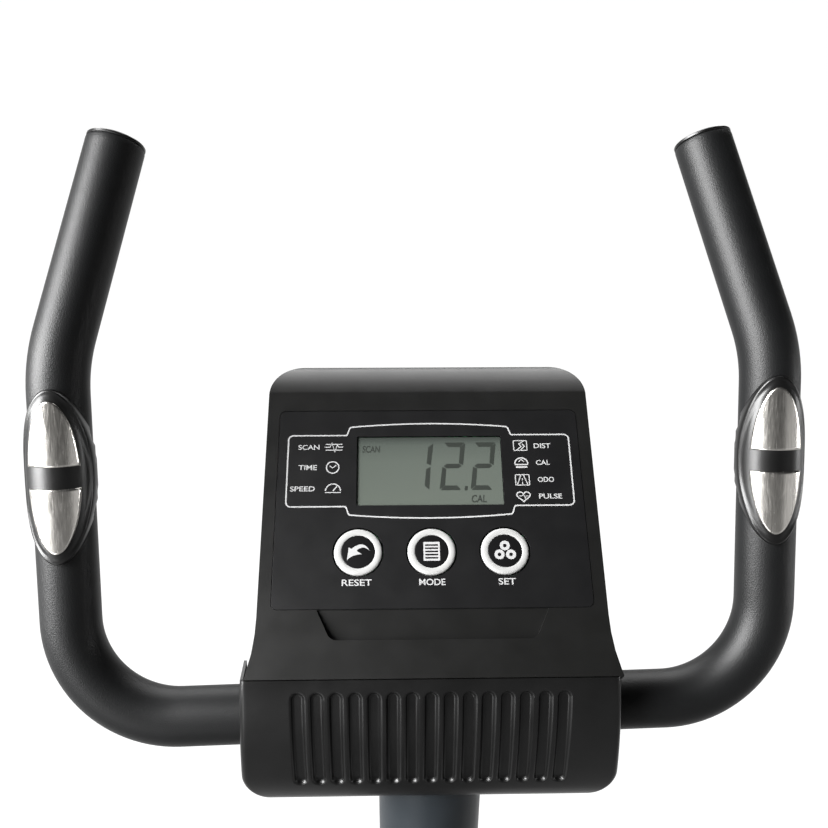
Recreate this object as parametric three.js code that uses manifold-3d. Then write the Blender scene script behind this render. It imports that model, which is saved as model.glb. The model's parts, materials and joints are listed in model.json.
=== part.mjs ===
// An upright magnetic exercise bike: welded steel frame, belt drive to a braked flywheel, sprung-pin
// saddle post, and a head with a foam-covered multi-grip handlebar and a battery computer.
// Millimetres. +X is the rider's right, +Y is forwards, +Z is up. The origin is on the floor, at the
// middle of the base.
import * as THREE from "three";
import { mergeVertices } from "three/addons/utils/BufferGeometryUtils.js";
import Module from "manifold-3d";

const wasm = await Module();
wasm.setup();

// ---------------------------------------------------------------- driving dimensions
const RAD = Math.PI / 180;
const GAP = 0.3; // between neighbouring solids that touch
const REAR_FOOT = -462; // y of each stabiliser's axis
const FRONT_FOOT = 418;
const STABILISER_HALF_WIDTH = 215;
const STABILISER_R = 25;
const CAP_R = 34; // stabiliser end caps, which stand on the floor
const CAP_LENGTH = 60;
const SPINE_R = 25;
const SPINE_Z = CAP_R + STABILISER_R + SPINE_R - 2;
const WHEEL_R = 24;

const CRANK_CENTRE = [-20, 300]; // y, z of the bottom bracket
const CRANK_LENGTH = 165;
const CRANK_ANGLE = 25 * RAD; // right crank above the horizontal, forwards
const CRANK_X = 76; // middle of each crank arm
const PEDAL_X = 136; // middle of each pedal
const FLYWHEEL_CENTRE = [165, 290];
const FLYWHEEL_R = 112;
const DRIVE_PULLEY_R = 110;
const SMALL_PULLEY_R = 20;
const BELT_X = 29;

const SEAT_ANGLE = 16 * RAD; // seat tube leans back from the vertical
const SEAT_FOOT = [-110, 100]; // y, z where the seat tube's axis meets the spine
const SEAT_TUBE_LENGTH = 430;
const SEAT_POST_R = 25;
const SEAT_POST_INSERT = 215; // length of the post inside the tube at rest
const SEAT_POST_OUT = 300; // length of the post above the tube at rest

const POST_LEAN = 4.5 * RAD; // handlebar post leans back towards the rider
const POST_OFFSET = 14; // post's axis ahead of the handlebar's, at the handlebar's height
const POST_R = 31.75;
const BAR_CENTRE = [0, 280, 970]; // the clamp, on the handlebar's axis
const BAR_R = 12.7;
const FOAM_R = 16.5;
const GRIP_X = 196.4; // handlebar side runs
const BAR_YAW = 2.17 * RAD; // the bar is turned this much in its clamp
const BAR_SHIFT = -3.8; // and sits this far off centre
const CASING_HALF_WIDTH = 58;
const CASING_WALL = 3;

const FACE_TILT = 39.5 * RAD; // console face above the horizontal
const SEAM = [-19.3, 36.2]; // y, z of the console's lower front edge from the bar's axis
const FACE_HALF_WIDTH = 98;
const FACE_LENGTH = 199;
const FACE_FLAT = 173.5; // the face is flat up to here, then rolls back
const FACE_FLARE = 103; // half width at the lower edge
const FLARE_TOP = 30;
const CASE_DEPTH = 42;
const CASE_SPLIT = 14; // depth of the front case
const CASE_WALL = 2.5;

// ---------------------------------------------------------------- finishes
const finish = (color, roughness, metalness = 0) =>
  new THREE.MeshStandardMaterial({ color, roughness, metalness });
const BLACK_STEEL = finish(0x1c1d1f, 0.42, 0.3);
const GREY_STEEL = finish(0x3a3f45, 0.38, 0.4);
const BARE_STEEL = finish(0xb9b7b0, 0.3, 1);
const BLACK_PLASTIC = finish(0x191919, 0.5);
const GLOSS_PANEL = finish(0x101112, 0.25);
const FOAM = finish(0x222222, 0.95);
const RUBBER = finish(0x161616, 0.85);
const WHITE_PLASTIC = finish(0xe9e9e6, 0.45);
const LCD = finish(0x8f9a88, 0.35);
const BOARD = finish(0x1f5a35, 0.6);
const CAST_IRON = finish(0x55585a, 0.55, 0.8);
const VINYL = finish(0x1b1b1c, 0.6);

// ---------------------------------------------------------------- solids
// A closed three.js geometry as a manifold solid, moved to `at` and turned by `turn` (Euler, radians).
function solid(geometry, at = [0, 0, 0], turn = [0, 0, 0]) {
  const plain = geometry.clone();
  plain.deleteAttribute("normal");
  plain.deleteAttribute("uv");
  plain.applyMatrix4(new THREE.Matrix4().makeRotationFromEuler(new THREE.Euler(...turn)));
  plain.translate(...at);
  const merged = mergeVertices(plain, 1e-3);
  return new wasm.Manifold(
    new wasm.Mesh({
      numProp: 3,
      vertProperties: merged.attributes.position.array,
      triVerts: new Uint32Array(merged.index.array),
    }),
  );
}

function geometryOf(body) {
  const mesh = body.getMesh();
  const positions = new Float32Array(mesh.numVert * 3);
  for (let i = 0; i < mesh.numVert; i++) {
    positions.set(mesh.vertProperties.subarray(i * mesh.numProp, i * mesh.numProp + 3), i * 3);
  }
  const geometry = new THREE.BufferGeometry();
  geometry.setAttribute("position", new THREE.BufferAttribute(positions, 3));
  geometry.setIndex(new THREE.BufferAttribute(new Uint32Array(mesh.triVerts), 1));
  geometry.computeVertexNormals();
  return geometry;
}

const union = (...parts) => parts.reduce((sum, part) => sum.add(part));
const cut = (from, ...parts) => parts.reduce((rest, part) => rest.subtract(part), from);

const box = (size, at) => solid(new THREE.BoxGeometry(...size), at);

// A round rod between two points.
function rod(radius, from, to, sides = 20, radiusTo = radius) {
  const a = new THREE.Vector3(...from);
  const b = new THREE.Vector3(...to);
  const geometry = new THREE.CylinderGeometry(radiusTo, radius, a.distanceTo(b), sides);
  const along = b.clone().sub(a).normalize();
  geometry.applyQuaternion(new THREE.Quaternion().setFromUnitVectors(new THREE.Vector3(0, 1, 0), along));
  const middle = a.clone().add(b).multiplyScalar(0.5);
  return solid(geometry, middle.toArray());
}

// A turned piece about a line through `at` along X: the profile holds [radius, distance along X].
function turnedX(profile, at, sides = 32) {
  const points = profile.map(([r, x]) => new THREE.Vector2(r, x));
  const geometry = new THREE.LatheGeometry(points, sides);
  geometry.rotateZ(-Math.PI / 2);
  return solid(geometry, at);
}

function shapeOf(points) {
  return new THREE.Shape(points.map(([x, y]) => new THREE.Vector2(x, y)));
}

// Extrudes a shape drawn in (y, z) along X, centred on x = 0 unless `x0` is given.
function extrudeX(shape, width, x0 = -width / 2, curveSegments = 6) {
  const geometry = new THREE.ExtrudeGeometry(shape, { depth: width, bevelEnabled: false, curveSegments });
  geometry.applyMatrix4(new THREE.Matrix4().set(0, 0, 1, x0, 1, 0, 0, 0, 0, 1, 0, 0, 0, 0, 0, 1));
  return solid(geometry);
}

// Extrudes a shape drawn in (x, z) along +Y, from y0 to y1.
function extrudeY(shape, y0, y1, curveSegments = 6) {
  const depth = y1 - y0;
  const geometry = new THREE.ExtrudeGeometry(shape, { depth, bevelEnabled: false, curveSegments });
  geometry.applyMatrix4(new THREE.Matrix4().set(1, 0, 0, 0, 0, 0, -1, y1, 0, 1, 0, 0, 0, 0, 0, 1));
  return solid(geometry);
}

// Extrudes a shape drawn in (x, y) along +Z, from z0 to z1.
function extrudeZ(shape, z0, z1, curveSegments = 6) {
  const geometry = new THREE.ExtrudeGeometry(shape, { depth: z1 - z0, bevelEnabled: false, curveSegments });
  geometry.translate(0, 0, z0);
  return solid(geometry);
}

function roundedRect(x0, y0, x1, y1, r) {
  const s = new THREE.Shape();
  s.moveTo(x0 + r, y0);
  s.lineTo(x1 - r, y0);
  s.absarc(x1 - r, y0 + r, r, -Math.PI / 2, 0);
  s.lineTo(x1, y1 - r);
  s.absarc(x1 - r, y1 - r, r, 0, Math.PI / 2);
  s.lineTo(x0 + r, y1);
  s.absarc(x0 + r, y1 - r, r, Math.PI / 2, Math.PI);
  s.lineTo(x0, y0 + r);
  s.absarc(x0 + r, y0 + r, r, Math.PI, 1.5 * Math.PI);
  return s;
}

function circle(radius, x = 0, y = 0) {
  const s = new THREE.Shape();
  s.absarc(x, y, radius, 0, 2 * Math.PI);
  return s;
}

// A regular polygon, as a path for a shape or its hole.
function ngon(radius, sides) {
  return Array.from({ length: sides }, (_, i) => {
    const a = (2 * Math.PI * i) / sides;
    return new THREE.Vector2(radius * Math.cos(a), radius * Math.sin(a));
  });
}

function ring(outer, outerSides, inner, innerSides) {
  const shape = new THREE.Shape(ngon(outer, outerSides));
  shape.holes.push(new THREE.Path(ngon(inner, innerSides)));
  return shape;
}

// A curve through fixed stations, sampled exactly at them.
class StationPath extends THREE.Curve {
  constructor(stations) {
    super();
    this.stations = stations;
  }
  getPoint(t) {
    const place = t * (this.stations.length - 1);
    const i = Math.min(Math.floor(place + 1e-9), this.stations.length - 2);
    return this.stations[i].clone().lerp(this.stations[i + 1], place - i);
  }
  getPointAt(t) {
    return this.getPoint(t);
  }
  getTangentAt(t) {
    const last = this.stations.length - 1;
    const i = Math.round(t * last);
    const before = this.stations[Math.max(i - 1, 0)];
    const after = this.stations[Math.min(i + 1, last)];
    return after.clone().sub(before).normalize();
  }
}

function sweep(shape, stations) {
  return new THREE.ExtrudeGeometry(shape, {
    steps: stations.length - 1,
    extrudePath: new StationPath(stations),
  });
}

// Points along a polyline whose inner corners are rounded to the given radii.
function roundedRoute(corners, radii, stepsPerCorner) {
  const route = [corners[0].clone()];
  for (let i = 1; i < corners.length - 1; i++) {
    const here = corners[i];
    const back = corners[i - 1].clone().sub(here).normalize();
    const on = corners[i + 1].clone().sub(here).normalize();
    const half = back.angleTo(on) / 2;
    const reach = radii[i - 1] / Math.tan(half);
    const middle = back.clone().add(on).normalize().multiplyScalar(radii[i - 1] / Math.sin(half)).add(here);
    const start = back.clone().multiplyScalar(reach).add(here).sub(middle);
    const axis = start.clone().cross(on.clone().multiplyScalar(reach).add(here).sub(middle)).normalize();
    const sweepAngle = Math.PI - 2 * half;
    for (let k = 0; k <= stepsPerCorner[i - 1]; k++) {
      const turned = start.clone().applyAxisAngle(axis, (sweepAngle * k) / stepsPerCorner[i - 1]);
      route.push(turned.add(middle));
    }
  }
  route.push(corners[corners.length - 1].clone());
  return route;
}

// ---------------------------------------------------------------- the assembly
const bike = new THREE.Group();
const head = new THREE.Group();
head.position.set(...BAR_CENTRE);
bike.add(head);
const consoleGroup = new THREE.Group();
consoleGroup.position.set(0, ...SEAM);
consoleGroup.rotation.x = FACE_TILT;
head.add(consoleGroup);

function place(name, shape, material, parent = bike) {
  const mesh = new THREE.Mesh(shape.isBufferGeometry ? shape : geometryOf(shape), material);
  mesh.name = name;
  parent.add(mesh);
  return mesh;
}

// ---------------------------------------------------------------- frame and base
const postAt = (z) => {
  const drop = BAR_CENTRE[2] - z;
  return [0, BAR_CENTRE[1] + POST_OFFSET + drop * Math.tan(POST_LEAN), z];
};
const seatAxis = new THREE.Vector3(0, -Math.sin(SEAT_ANGLE), Math.cos(SEAT_ANGLE));
const seatAt = (along) => [0, SEAT_FOOT[0] + seatAxis.y * along, SEAT_FOOT[1] + seatAxis.z * along];

const STUB_R = POST_R - 2.5;
const STUB_TOP = 560;
const POST_FOOT = 430;
const BB_SHELL_R = 22;
const FORK_X = [-50, 46];
const SEAT_TUBE_R = 29;

function frameSolid() {
  const [crankY, crankZ] = CRANK_CENTRE;
  const [flyY, flyZ] = FLYWHEEL_CENTRE;
  const spine = rod(SPINE_R, [0, REAR_FOOT, SPINE_Z], [0, FRONT_FOOT, SPINE_Z], 20);
  const seatTube = rod(SEAT_TUBE_R, seatAt(0), seatAt(SEAT_TUBE_LENGTH), 24);
  const stub = rod(STUB_R, postAt(SPINE_Z), postAt(STUB_TOP), 24);
  const bbLeg = rod(19, [-4, crankY, SPINE_Z], [-4, crankY, crankZ]);
  const bbShell = rod(BB_SHELL_R, [-46, crankY, crankZ], [17, crankY, crankZ], 24);
  const forks = FORK_X.map((x) => box([6, 36, flyZ - SPINE_Z + 20], [x, flyY, (flyZ + SPINE_Z) / 2]));
  const forkFoot = box([FORK_X[1] - FORK_X[0] + 6, 36, 8], [(FORK_X[0] + FORK_X[1]) / 2, flyY, SPINE_Z + 24]);
  const saddles = [REAR_FOOT, FRONT_FOOT].map((y) => box([92, 46, 14], [0, y, SPINE_Z - SPINE_R + 4]));
  const pinBoss = rod(11, seatAt(SEAT_TUBE_LENGTH - 42), pinPoint(SEAT_TUBE_R + 12), 20);
  const magnetEar = union(box([8, 30, 79], [FORK_X[0] + 7, 46, 135.5]), box([40, 30, 8], [FORK_X[0] + 23, 46, 100]));
  const whole = union(spine, seatTube, stub, bbLeg, bbShell, ...forks, forkFoot, ...saddles, pinBoss, magnetEar);
  const seatBore = rod(SEAT_POST_R + 1.4, seatAt(30), seatAt(SEAT_TUBE_LENGTH + 10), 24);
  const stubBore = rod(STUB_R - 2.5, postAt(SPINE_Z + 40), postAt(STUB_TOP + 5), 16);
  const bbBore = rod(11, [-60, crankY, crankZ], [30, crankY, crankZ], 24);
  const axleHoles = rod(6.5, [-60, flyY, flyZ], [60, flyY, flyZ], 16);
  const pinHole = rod(5.4, seatAt(SEAT_TUBE_LENGTH - 42), pinPoint(SEAT_TUBE_R + 20), 16);
  const stabiliserSeats = [REAR_FOOT, FRONT_FOOT].map((y) =>
    rod(STABILISER_R + GAP, [-60, y, CAP_R], [60, y, CAP_R], 20),
  );
  const spineBore = rod(SPINE_R - 3, [0, REAR_FOOT - 5, SPINE_Z], [0, -150, SPINE_Z], 16);
  const magnetPin = rod(4.3, [FORK_X[0] - 5, 46, 160], [FORK_X[0] + 15, 46, 160], 14);
  return cut(whole, seatBore, stubBore, bbBore, axleHoles, pinHole, ...stabiliserSeats, spineBore, magnetPin);
}

// A point in front of the seat tube, on the locking pin's axis.
function pinPoint(out) {
  const [, y, z] = seatAt(SEAT_TUBE_LENGTH - 42);
  return [0, y + out * Math.cos(SEAT_ANGLE), z + out * Math.sin(SEAT_ANGLE)];
}

place("main_frame", frameSolid(), BLACK_STEEL);

for (const [name, y] of [["rear_stabiliser", REAR_FOOT], ["front_stabiliser", FRONT_FOOT]]) {
  const tube = new THREE.ExtrudeGeometry(ring(STABILISER_R, 20, STABILISER_R - 2.5, 14), {
    depth: 2 * STABILISER_HALF_WIDTH,
    bevelEnabled: false,
  });
  tube.rotateY(Math.PI / 2);
  tube.translate(-STABILISER_HALF_WIDTH, 0, 0);
  place(name, tube, BLACK_STEEL).position.set(0, y, CAP_R);
}

const WHEEL_CENTRE_Y = 54; // ahead of the front stabiliser's axis
const WHEEL_LIFT = -6; // from the stabiliser's axis; the wheel clears the floor when the bike is level
const CAP_X = STABILISER_HALF_WIDTH - CAP_LENGTH + 22 + GAP;

// End caps: a thick-walled moulded cup that slips over the tube's end and stands on the floor.
function capSolid(wheelSide) {
  const cup = turnedX(
    [
      [0, CAP_LENGTH],
      [CAP_R - 8, CAP_LENGTH],
      [CAP_R - 2, CAP_LENGTH - 4],
      [CAP_R, CAP_LENGTH - 12],
      [CAP_R, 3],
      [CAP_R - 3, 0],
      [0, 0],
    ].reverse(),
    [0, 0, 0],
    20,
  );
  const socket = rod(STABILISER_R + GAP, [-5, 0, 0], [CAP_LENGTH - 22, 0, 0], 20);
  if (!wheelSide) return cut(cup, socket);
  const ears = [-8, -40].map((x) => box([8, 48, 24], [CAP_LENGTH + x, 38, WHEEL_LIFT + 2]));
  const wheelAt = (x) => [CAP_LENGTH + x, WHEEL_CENTRE_Y, WHEEL_LIFT];
  const clear = rod(WHEEL_R + 2.5, wheelAt(-36), wheelAt(-12), 20);
  const axle = rod(3.2, wheelAt(-42), wheelAt(-6), 12);
  return union(cut(union(cup, ...ears), clear, socket), axle);
}

for (const [side, label] of [[-1, "left"], [1, "right"]]) {
  for (const [row, y] of [["rear", REAR_FOOT], ["front", FRONT_FOOT]]) {
    const cap = place(`${row}_cap_${label}`, capSolid(row === "front"), BLACK_PLASTIC);
    cap.position.set(side * CAP_X, y, CAP_R);
    if (side < 0) cap.scale.x = -1;
  }
  const wheel = turnedX(
    [
      [3.6, -10],
      [WHEEL_R - 3, -10],
      [WHEEL_R, -7],
      [WHEEL_R, 7],
      [WHEEL_R - 3, 10],
      [3.6, 10],
      [3.6, -10],
    ],
    [0, 0, 0],
    20,
  );
  place(`transport_wheel_${label}`, wheel, RUBBER).position.set(
    side * (CAP_X + CAP_LENGTH - 24),
    FRONT_FOOT + WHEEL_CENTRE_Y,
    CAP_R + WHEEL_LIFT,
  );
}

// ---------------------------------------------------------------- drive
const [CRANK_Y, CRANK_Z] = CRANK_CENTRE;
const [FLY_Y, FLY_Z] = FLYWHEEL_CENTRE;

place("crank_axle", rod(9.5, [-CRANK_X - 8, 0, 0], [CRANK_X + 8, 0, 0], 20), BARE_STEEL).position.set(0, CRANK_Y, CRANK_Z);

function pulleySolid() {
  const rim = turnedX(
    [
      [9.8, -8],
      [24, -8],
      [24, -3],
      [DRIVE_PULLEY_R - 8, -3],
      [DRIVE_PULLEY_R - 8, -7],
      [DRIVE_PULLEY_R, -7],
      [DRIVE_PULLEY_R, 7],
      [DRIVE_PULLEY_R - 8, 7],
      [DRIVE_PULLEY_R - 8, 3],
      [24, 3],
      [24, 8],
      [9.8, 8],
      [9.8, -8],
    ],
    [0, 0, 0],
    26,
  );
  const windows = [0, 1, 2, 3, 4].map((i) => {
    const a = (2 * Math.PI * i) / 5;
    return rod(20, [-6, 64 * Math.cos(a), 64 * Math.sin(a)], [6, 64 * Math.cos(a), 64 * Math.sin(a)], 8);
  });
  return cut(rim, ...windows);
}
place("drive_pulley", pulleySolid(), BLACK_PLASTIC).position.set(BELT_X, CRANK_Y, CRANK_Z);

function flywheelSolid() {
  return turnedX(
    [
      [10.3, -16],
      [26, -16],
      [26, -8],
      [FLYWHEEL_R - 26, -8],
      [FLYWHEEL_R - 22, -12],
      [FLYWHEEL_R, -12],
      [FLYWHEEL_R, 12],
      [FLYWHEEL_R - 22, 12],
      [FLYWHEEL_R - 26, 8],
      [26, 8],
      [26, 14],
      [10.3, 14],
      [10.3, -16],
    ],
    [0, 0, 0],
    26,
  );
}
place("flywheel", flywheelSolid(), CAST_IRON).position.set(-24, FLY_Y, FLY_Z);

const axleProfile = [
  [0, -54],
  [6.1, -54],
  [6.1, -42],
  [10, -42],
  [10, 12],
  [SMALL_PULLEY_R + 3, 18],
  [SMALL_PULLEY_R + 3, 20.5],
  [SMALL_PULLEY_R, 20.5],
  [SMALL_PULLEY_R, 37.5],
  [SMALL_PULLEY_R + 3, 37.5],
  [SMALL_PULLEY_R + 3, 40],
  [6.1, 40],
  [6.1, 52],
  [0, 52],
];
place("flywheel_axle", turnedX(axleProfile, [0, 0, 0], 16), BARE_STEEL).position.set(0, FLY_Y, FLY_Z);

// The belt follows both pulleys, with the two straight runs tangent to them.
function beltOutline(offset) {
  const dy = FLY_Y - CRANK_Y;
  const dz = FLY_Z - CRANK_Z;
  const line = Math.atan2(dz, dy);
  const spread = Math.acos((DRIVE_PULLEY_R - SMALL_PULLEY_R) / Math.hypot(dy, dz));
  const outline = new THREE.Path();
  outline.absarc(CRANK_Y, CRANK_Z, DRIVE_PULLEY_R + offset, line + spread, line - spread + 2 * Math.PI);
  outline.absarc(FLY_Y, FLY_Z, SMALL_PULLEY_R + offset, line - spread, line + spread);
  return outline.getPoints(14);
}
const beltShape = new THREE.Shape(beltOutline(3.2));
beltShape.holes.push(new THREE.Path(beltOutline(0.8)));
place("drive_belt", extrudeX(beltShape, 13, BELT_X - 6.5), RUBBER);

// Cranks, pedals and straps, each modelled for the right side with its axle at the origin.
function crankSolid() {
  const arm = new THREE.Shape();
  arm.absarc(0, 0, 19, Math.PI / 2, 1.5 * Math.PI);
  arm.absarc(CRANK_LENGTH, 0, 14, -Math.PI / 2, Math.PI / 2);
  const blade = extrudeX(arm, 12, -6, 7);
  const boss = rod(19, [-13, 0, 0], [6, 0, 0], 20);
  const spindle = rod(7, [0, CRANK_LENGTH, 0], [PEDAL_X - CRANK_X + 45, CRANK_LENGTH, 0], 16);
  const axleHole = rod(9.8, [-20, 0, 0], [8.6, 0, 0], 20);
  return cut(union(blade, boss, spindle), axleHole);
}
function pedalSolid() {
  const outer = extrudeZ(roundedRect(-46, -38, 46, 38, 12), -17, 9.5, 3);
  const windows = [-1, 1].map((end) => extrudeZ(roundedRect(-34, end * 22 - 9, 34, end * 22 + 9, 5), -30, 20, 2));
  const bore = rod(7.4, [-60, 0, 0], [60, 0, 0], 20);
  const ballast = box([64, 26, 7], [0, 0, -20]);
  return cut(union(outer, ballast), ...windows, bore);
}
function strapSolid() {
  const width = 26;
  const route = roundedRoute(
    [
      new THREE.Vector3(-48.6, 0, -14),
      new THREE.Vector3(-50, 0, 42),
      new THREE.Vector3(0, 0, 62),
      new THREE.Vector3(50, 0, 42),
      new THREE.Vector3(48.6, 0, -14),
    ],
    [26, 60, 26],
    [4, 5, 4],
  );
  const outline = new THREE.Shape();
  const thickness = 2;
  const away = route.map((p, i) => {
    const before = route[Math.max(i - 1, 0)];
    const after = route[Math.min(i + 1, route.length - 1)];
    const t = after.clone().sub(before).normalize();
    return [p.x - t.z * thickness, p.z + t.x * thickness];
  });
  outline.setFromPoints([
    ...route.map((p) => new THREE.Vector2(p.x, p.z)),
    ...away.reverse().map(([x, z]) => new THREE.Vector2(x, z)),
  ]);
  return extrudeY(outline, 8, 8 + width);
}

for (const [side, label] of [[1, "right"], [-1, "left"]]) {
  const angle = side > 0 ? CRANK_ANGLE : CRANK_ANGLE + Math.PI;
  const crank = place(`crank_${label}`, crankSolid(), BLACK_STEEL);
  crank.position.set(side * CRANK_X, CRANK_Y, CRANK_Z);
  crank.rotation.x = angle;
  if (side < 0) crank.scale.x = -1;
  const pedalAt = [
    side * PEDAL_X,
    CRANK_Y + CRANK_LENGTH * Math.cos(angle),
    CRANK_Z + CRANK_LENGTH * Math.sin(angle),
  ];
  for (const [part, shape, material] of [
    ["pedal", pedalSolid(), BLACK_PLASTIC],
    ["pedal_strap", strapSolid(), RUBBER],
  ]) {
    const mesh = place(`${part}_${label}`, shape, material);
    mesh.position.set(...pedalAt);
    if (side < 0) mesh.scale.x = -1;
  }
}

// The brake's magnet carrier: an arc under the flywheel, hung from a pin on the frame.
const MAGNET_PIVOT = [46, 160];
function magnetSolid() {
  const inner = FLYWHEEL_R + 4;
  const arc = new THREE.Shape();
  const [from, to] = [222 * RAD, 292 * RAD];
  arc.absarc(FLY_Y, FLY_Z, inner + 12, from, to);
  arc.absarc(FLY_Y, FLY_Z, inner, to, from, true);
  const shoe = extrudeX(arc, 34, -41, 8);
  const [py, pz] = MAGNET_PIVOT;
  const lug = union(
    rod(10, [-36, py, pz], [-28, py, pz], 20),
    extrudeX(shapeOf([[py - 6, pz + 8], [py + 6, pz - 9], [py + 42, pz + 22], [py + 34, pz + 48]]), 8, -36),
  );
  const pin = rod(4, [FORK_X[0] + 1, py, pz], [-30, py, pz], 14);
  return union(shoe, lug, pin);
}
place("magnet_carrier", magnetSolid(), BARE_STEEL);

// ---------------------------------------------------------------- casing, in two halves
function casingOutline(inset) {
  const s = new THREE.Shape();
  const i = inset;
  s.moveTo(-160, 124 + i);
  s.lineTo(372, 124 + i);
  s.quadraticCurveTo(420 - i, 126 + i, 420 - i, 190);
  s.lineTo(390 - i, 474);
  s.quadraticCurveTo(386 - i, 500 - i, 364, 500 - i);
  s.lineTo(300, 500 - i);
  s.quadraticCurveTo(280 + i, 498 - i, 272 + i, 474 - i);
  s.quadraticCurveTo(252, 428 - i, 130, 420 - i);
  s.quadraticCurveTo(-20, 412 - i, -120, 428 - i);
  s.quadraticCurveTo(-160, 436 - i, -176 - i, 458 - i);
  s.lineTo(-250 + i, 470 - i);
  s.quadraticCurveTo(-266 + i, 440, -250 + i, 380);
  s.lineTo(-212 + i, 180);
  s.quadraticCurveTo(-200 + i, 126 + i, -160, 124 + i);
  return s;
}
function casingBlock(inset, halfWidth, soften) {
  const steps = 3;
  const layers = [];
  for (let k = 0; k < steps; k++) {
    const a0 = (Math.PI / 2) * (k / steps);
    const depth = halfWidth - soften + soften * Math.sin(a0 + Math.PI / 2 / steps);
    layers.push(extrudeX(casingOutline(inset + soften * (1 - Math.cos(a0))), 2 * depth, -depth, 4));
  }
  return union(...layers);
}
function casingSolids() {
  const shell = cut(casingBlock(0, CASING_HALF_WIDTH, 14), casingBlock(CASING_WALL, CASING_HALF_WIDTH - CASING_WALL, 12));
  const seatHole = rod(SEAT_TUBE_R + 1.5, seatAt(0), seatAt(SEAT_TUBE_LENGTH), 24);
  const postHole = rod(POST_R + 1, postAt(400), postAt(600), 24);
  const footHoles = [
    rod(STUB_R + 1.5, postAt(SPINE_Z), postAt(200), 20),
    rod(20.5, [-4, CRANK_Y, SPINE_Z], [-4, CRANK_Y, 200]),
    box([110, 40, 80], [-2, FLY_Y, SPINE_Z + 30]),
    box([12, 34, 80], [FORK_X[0] + 7, 46, SPINE_Z + 30]),
  ];
  const axleHole = rod(24, [-90, CRANK_Y, CRANK_Z], [90, CRANK_Y, CRANK_Z], 20);
  const open = cut(shell, seatHole, postHole, ...footHoles, axleHole);
  const half = (side) => open.intersect(box([200, 900, 600], [side * (100 + 0.15), 60, 320]));
  return { left: half(-1), right: half(1) };
}
const casing = casingSolids();
place("casing_left", casing.left, BLACK_PLASTIC);
place("casing_right", casing.right, BLACK_PLASTIC);

// ---------------------------------------------------------------- saddle and its post
const RAIL_HALF = 19; // the saddle's square rail
const SLEEVE_HALF = 23.5; // the square sleeve it slides in, welded across the post
const SLEEVE_LENGTH = 90;
const RAIL_LENGTH = 220;
const SCREW_AHEAD = 25; // of the clamping screw, from the sleeve's middle
const postTop = new THREE.Vector3(...seatAt(SEAT_TUBE_LENGTH + SEAT_POST_OUT));
const RAIL_Z = postTop.z + SLEEVE_HALF - 4;

function seatPostSolid() {
  const foot = seatAt(SEAT_TUBE_LENGTH - SEAT_POST_INSERT);
  const tube = rod(SEAT_POST_R, foot, postTop.toArray(), 24);
  const bore = rod(SEAT_POST_R - 2.5, seatAt(200), seatAt(SEAT_TUBE_LENGTH + SEAT_POST_OUT - 20), 16);
  const sleeve = box([2 * SLEEVE_HALF, SLEEVE_LENGTH, 2 * SLEEVE_HALF], [0, postTop.y, RAIL_Z]);
  const channel = box([2 * RAIL_HALF + 1.2, SLEEVE_LENGTH + 20, 2 * RAIL_HALF + 1.2], [0, postTop.y, RAIL_Z]);
  const screwY = postTop.y + SCREW_AHEAD;
  const screwHole = rod(4.8, [0, screwY, RAIL_Z], [40, screwY, RAIL_Z], 12);
  const pinHoles = [0, 1, 2, 3, 4].map((i) => {
    const [, y, z] = seatAt(SEAT_TUBE_LENGTH - 42 + (i - 1) * 35);
    return rod(5.6, [0, y, z], [0, y + 60 * Math.cos(SEAT_ANGLE), z + 60 * Math.sin(SEAT_ANGLE)], 8);
  });
  return cut(union(tube, sleeve), bore, channel, screwHole, ...pinHoles);
}
place("seat_post", seatPostSolid(), BARE_STEEL);

// The bush lines the top of the seat tube and has a flange that sits on it.
const bush = cut(
  union(
    rod(SEAT_POST_R + 1, seatAt(SEAT_TUBE_LENGTH - 30), seatAt(SEAT_TUBE_LENGTH + 1), 24),
    rod(SEAT_TUBE_R + 2, seatAt(SEAT_TUBE_LENGTH + GAP), seatAt(SEAT_TUBE_LENGTH + 9), 24),
  ),
  rod(SEAT_POST_R + 0.3, seatAt(SEAT_TUBE_LENGTH - 40), seatAt(SEAT_TUBE_LENGTH + 20), 24),
);
place("seat_tube_bush", bush, BLACK_PLASTIC);

// A lobed hand knob with its stem, modelled along +Z with the knob's base at z = 0.
function knobSolid(radius, height, lobes, stemRadius, stemLength) {
  const waist = radius * 0.8;
  const core = extrudeZ(circle(waist), 0, height, 8);
  const grips = Array.from({ length: lobes }, (_, i) => {
    const a = (2 * Math.PI * i) / lobes;
    return extrudeZ(circle(radius * 0.3, waist * 0.9 * Math.cos(a), waist * 0.9 * Math.sin(a)), 0, height, 4);
  });
  const stem = rod(stemRadius, [0, 0, -stemLength], [0, 0, 2], 16);
  return union(core, ...grips, stem);
}
const pinKnob = place("seat_height_knob", knobSolid(21, 26, 6, 4.6, 18.4), BLACK_PLASTIC);
pinKnob.position.set(...pinPoint(SEAT_TUBE_R + 16));
pinKnob.rotation.x = -(Math.PI / 2 - SEAT_ANGLE);

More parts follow.
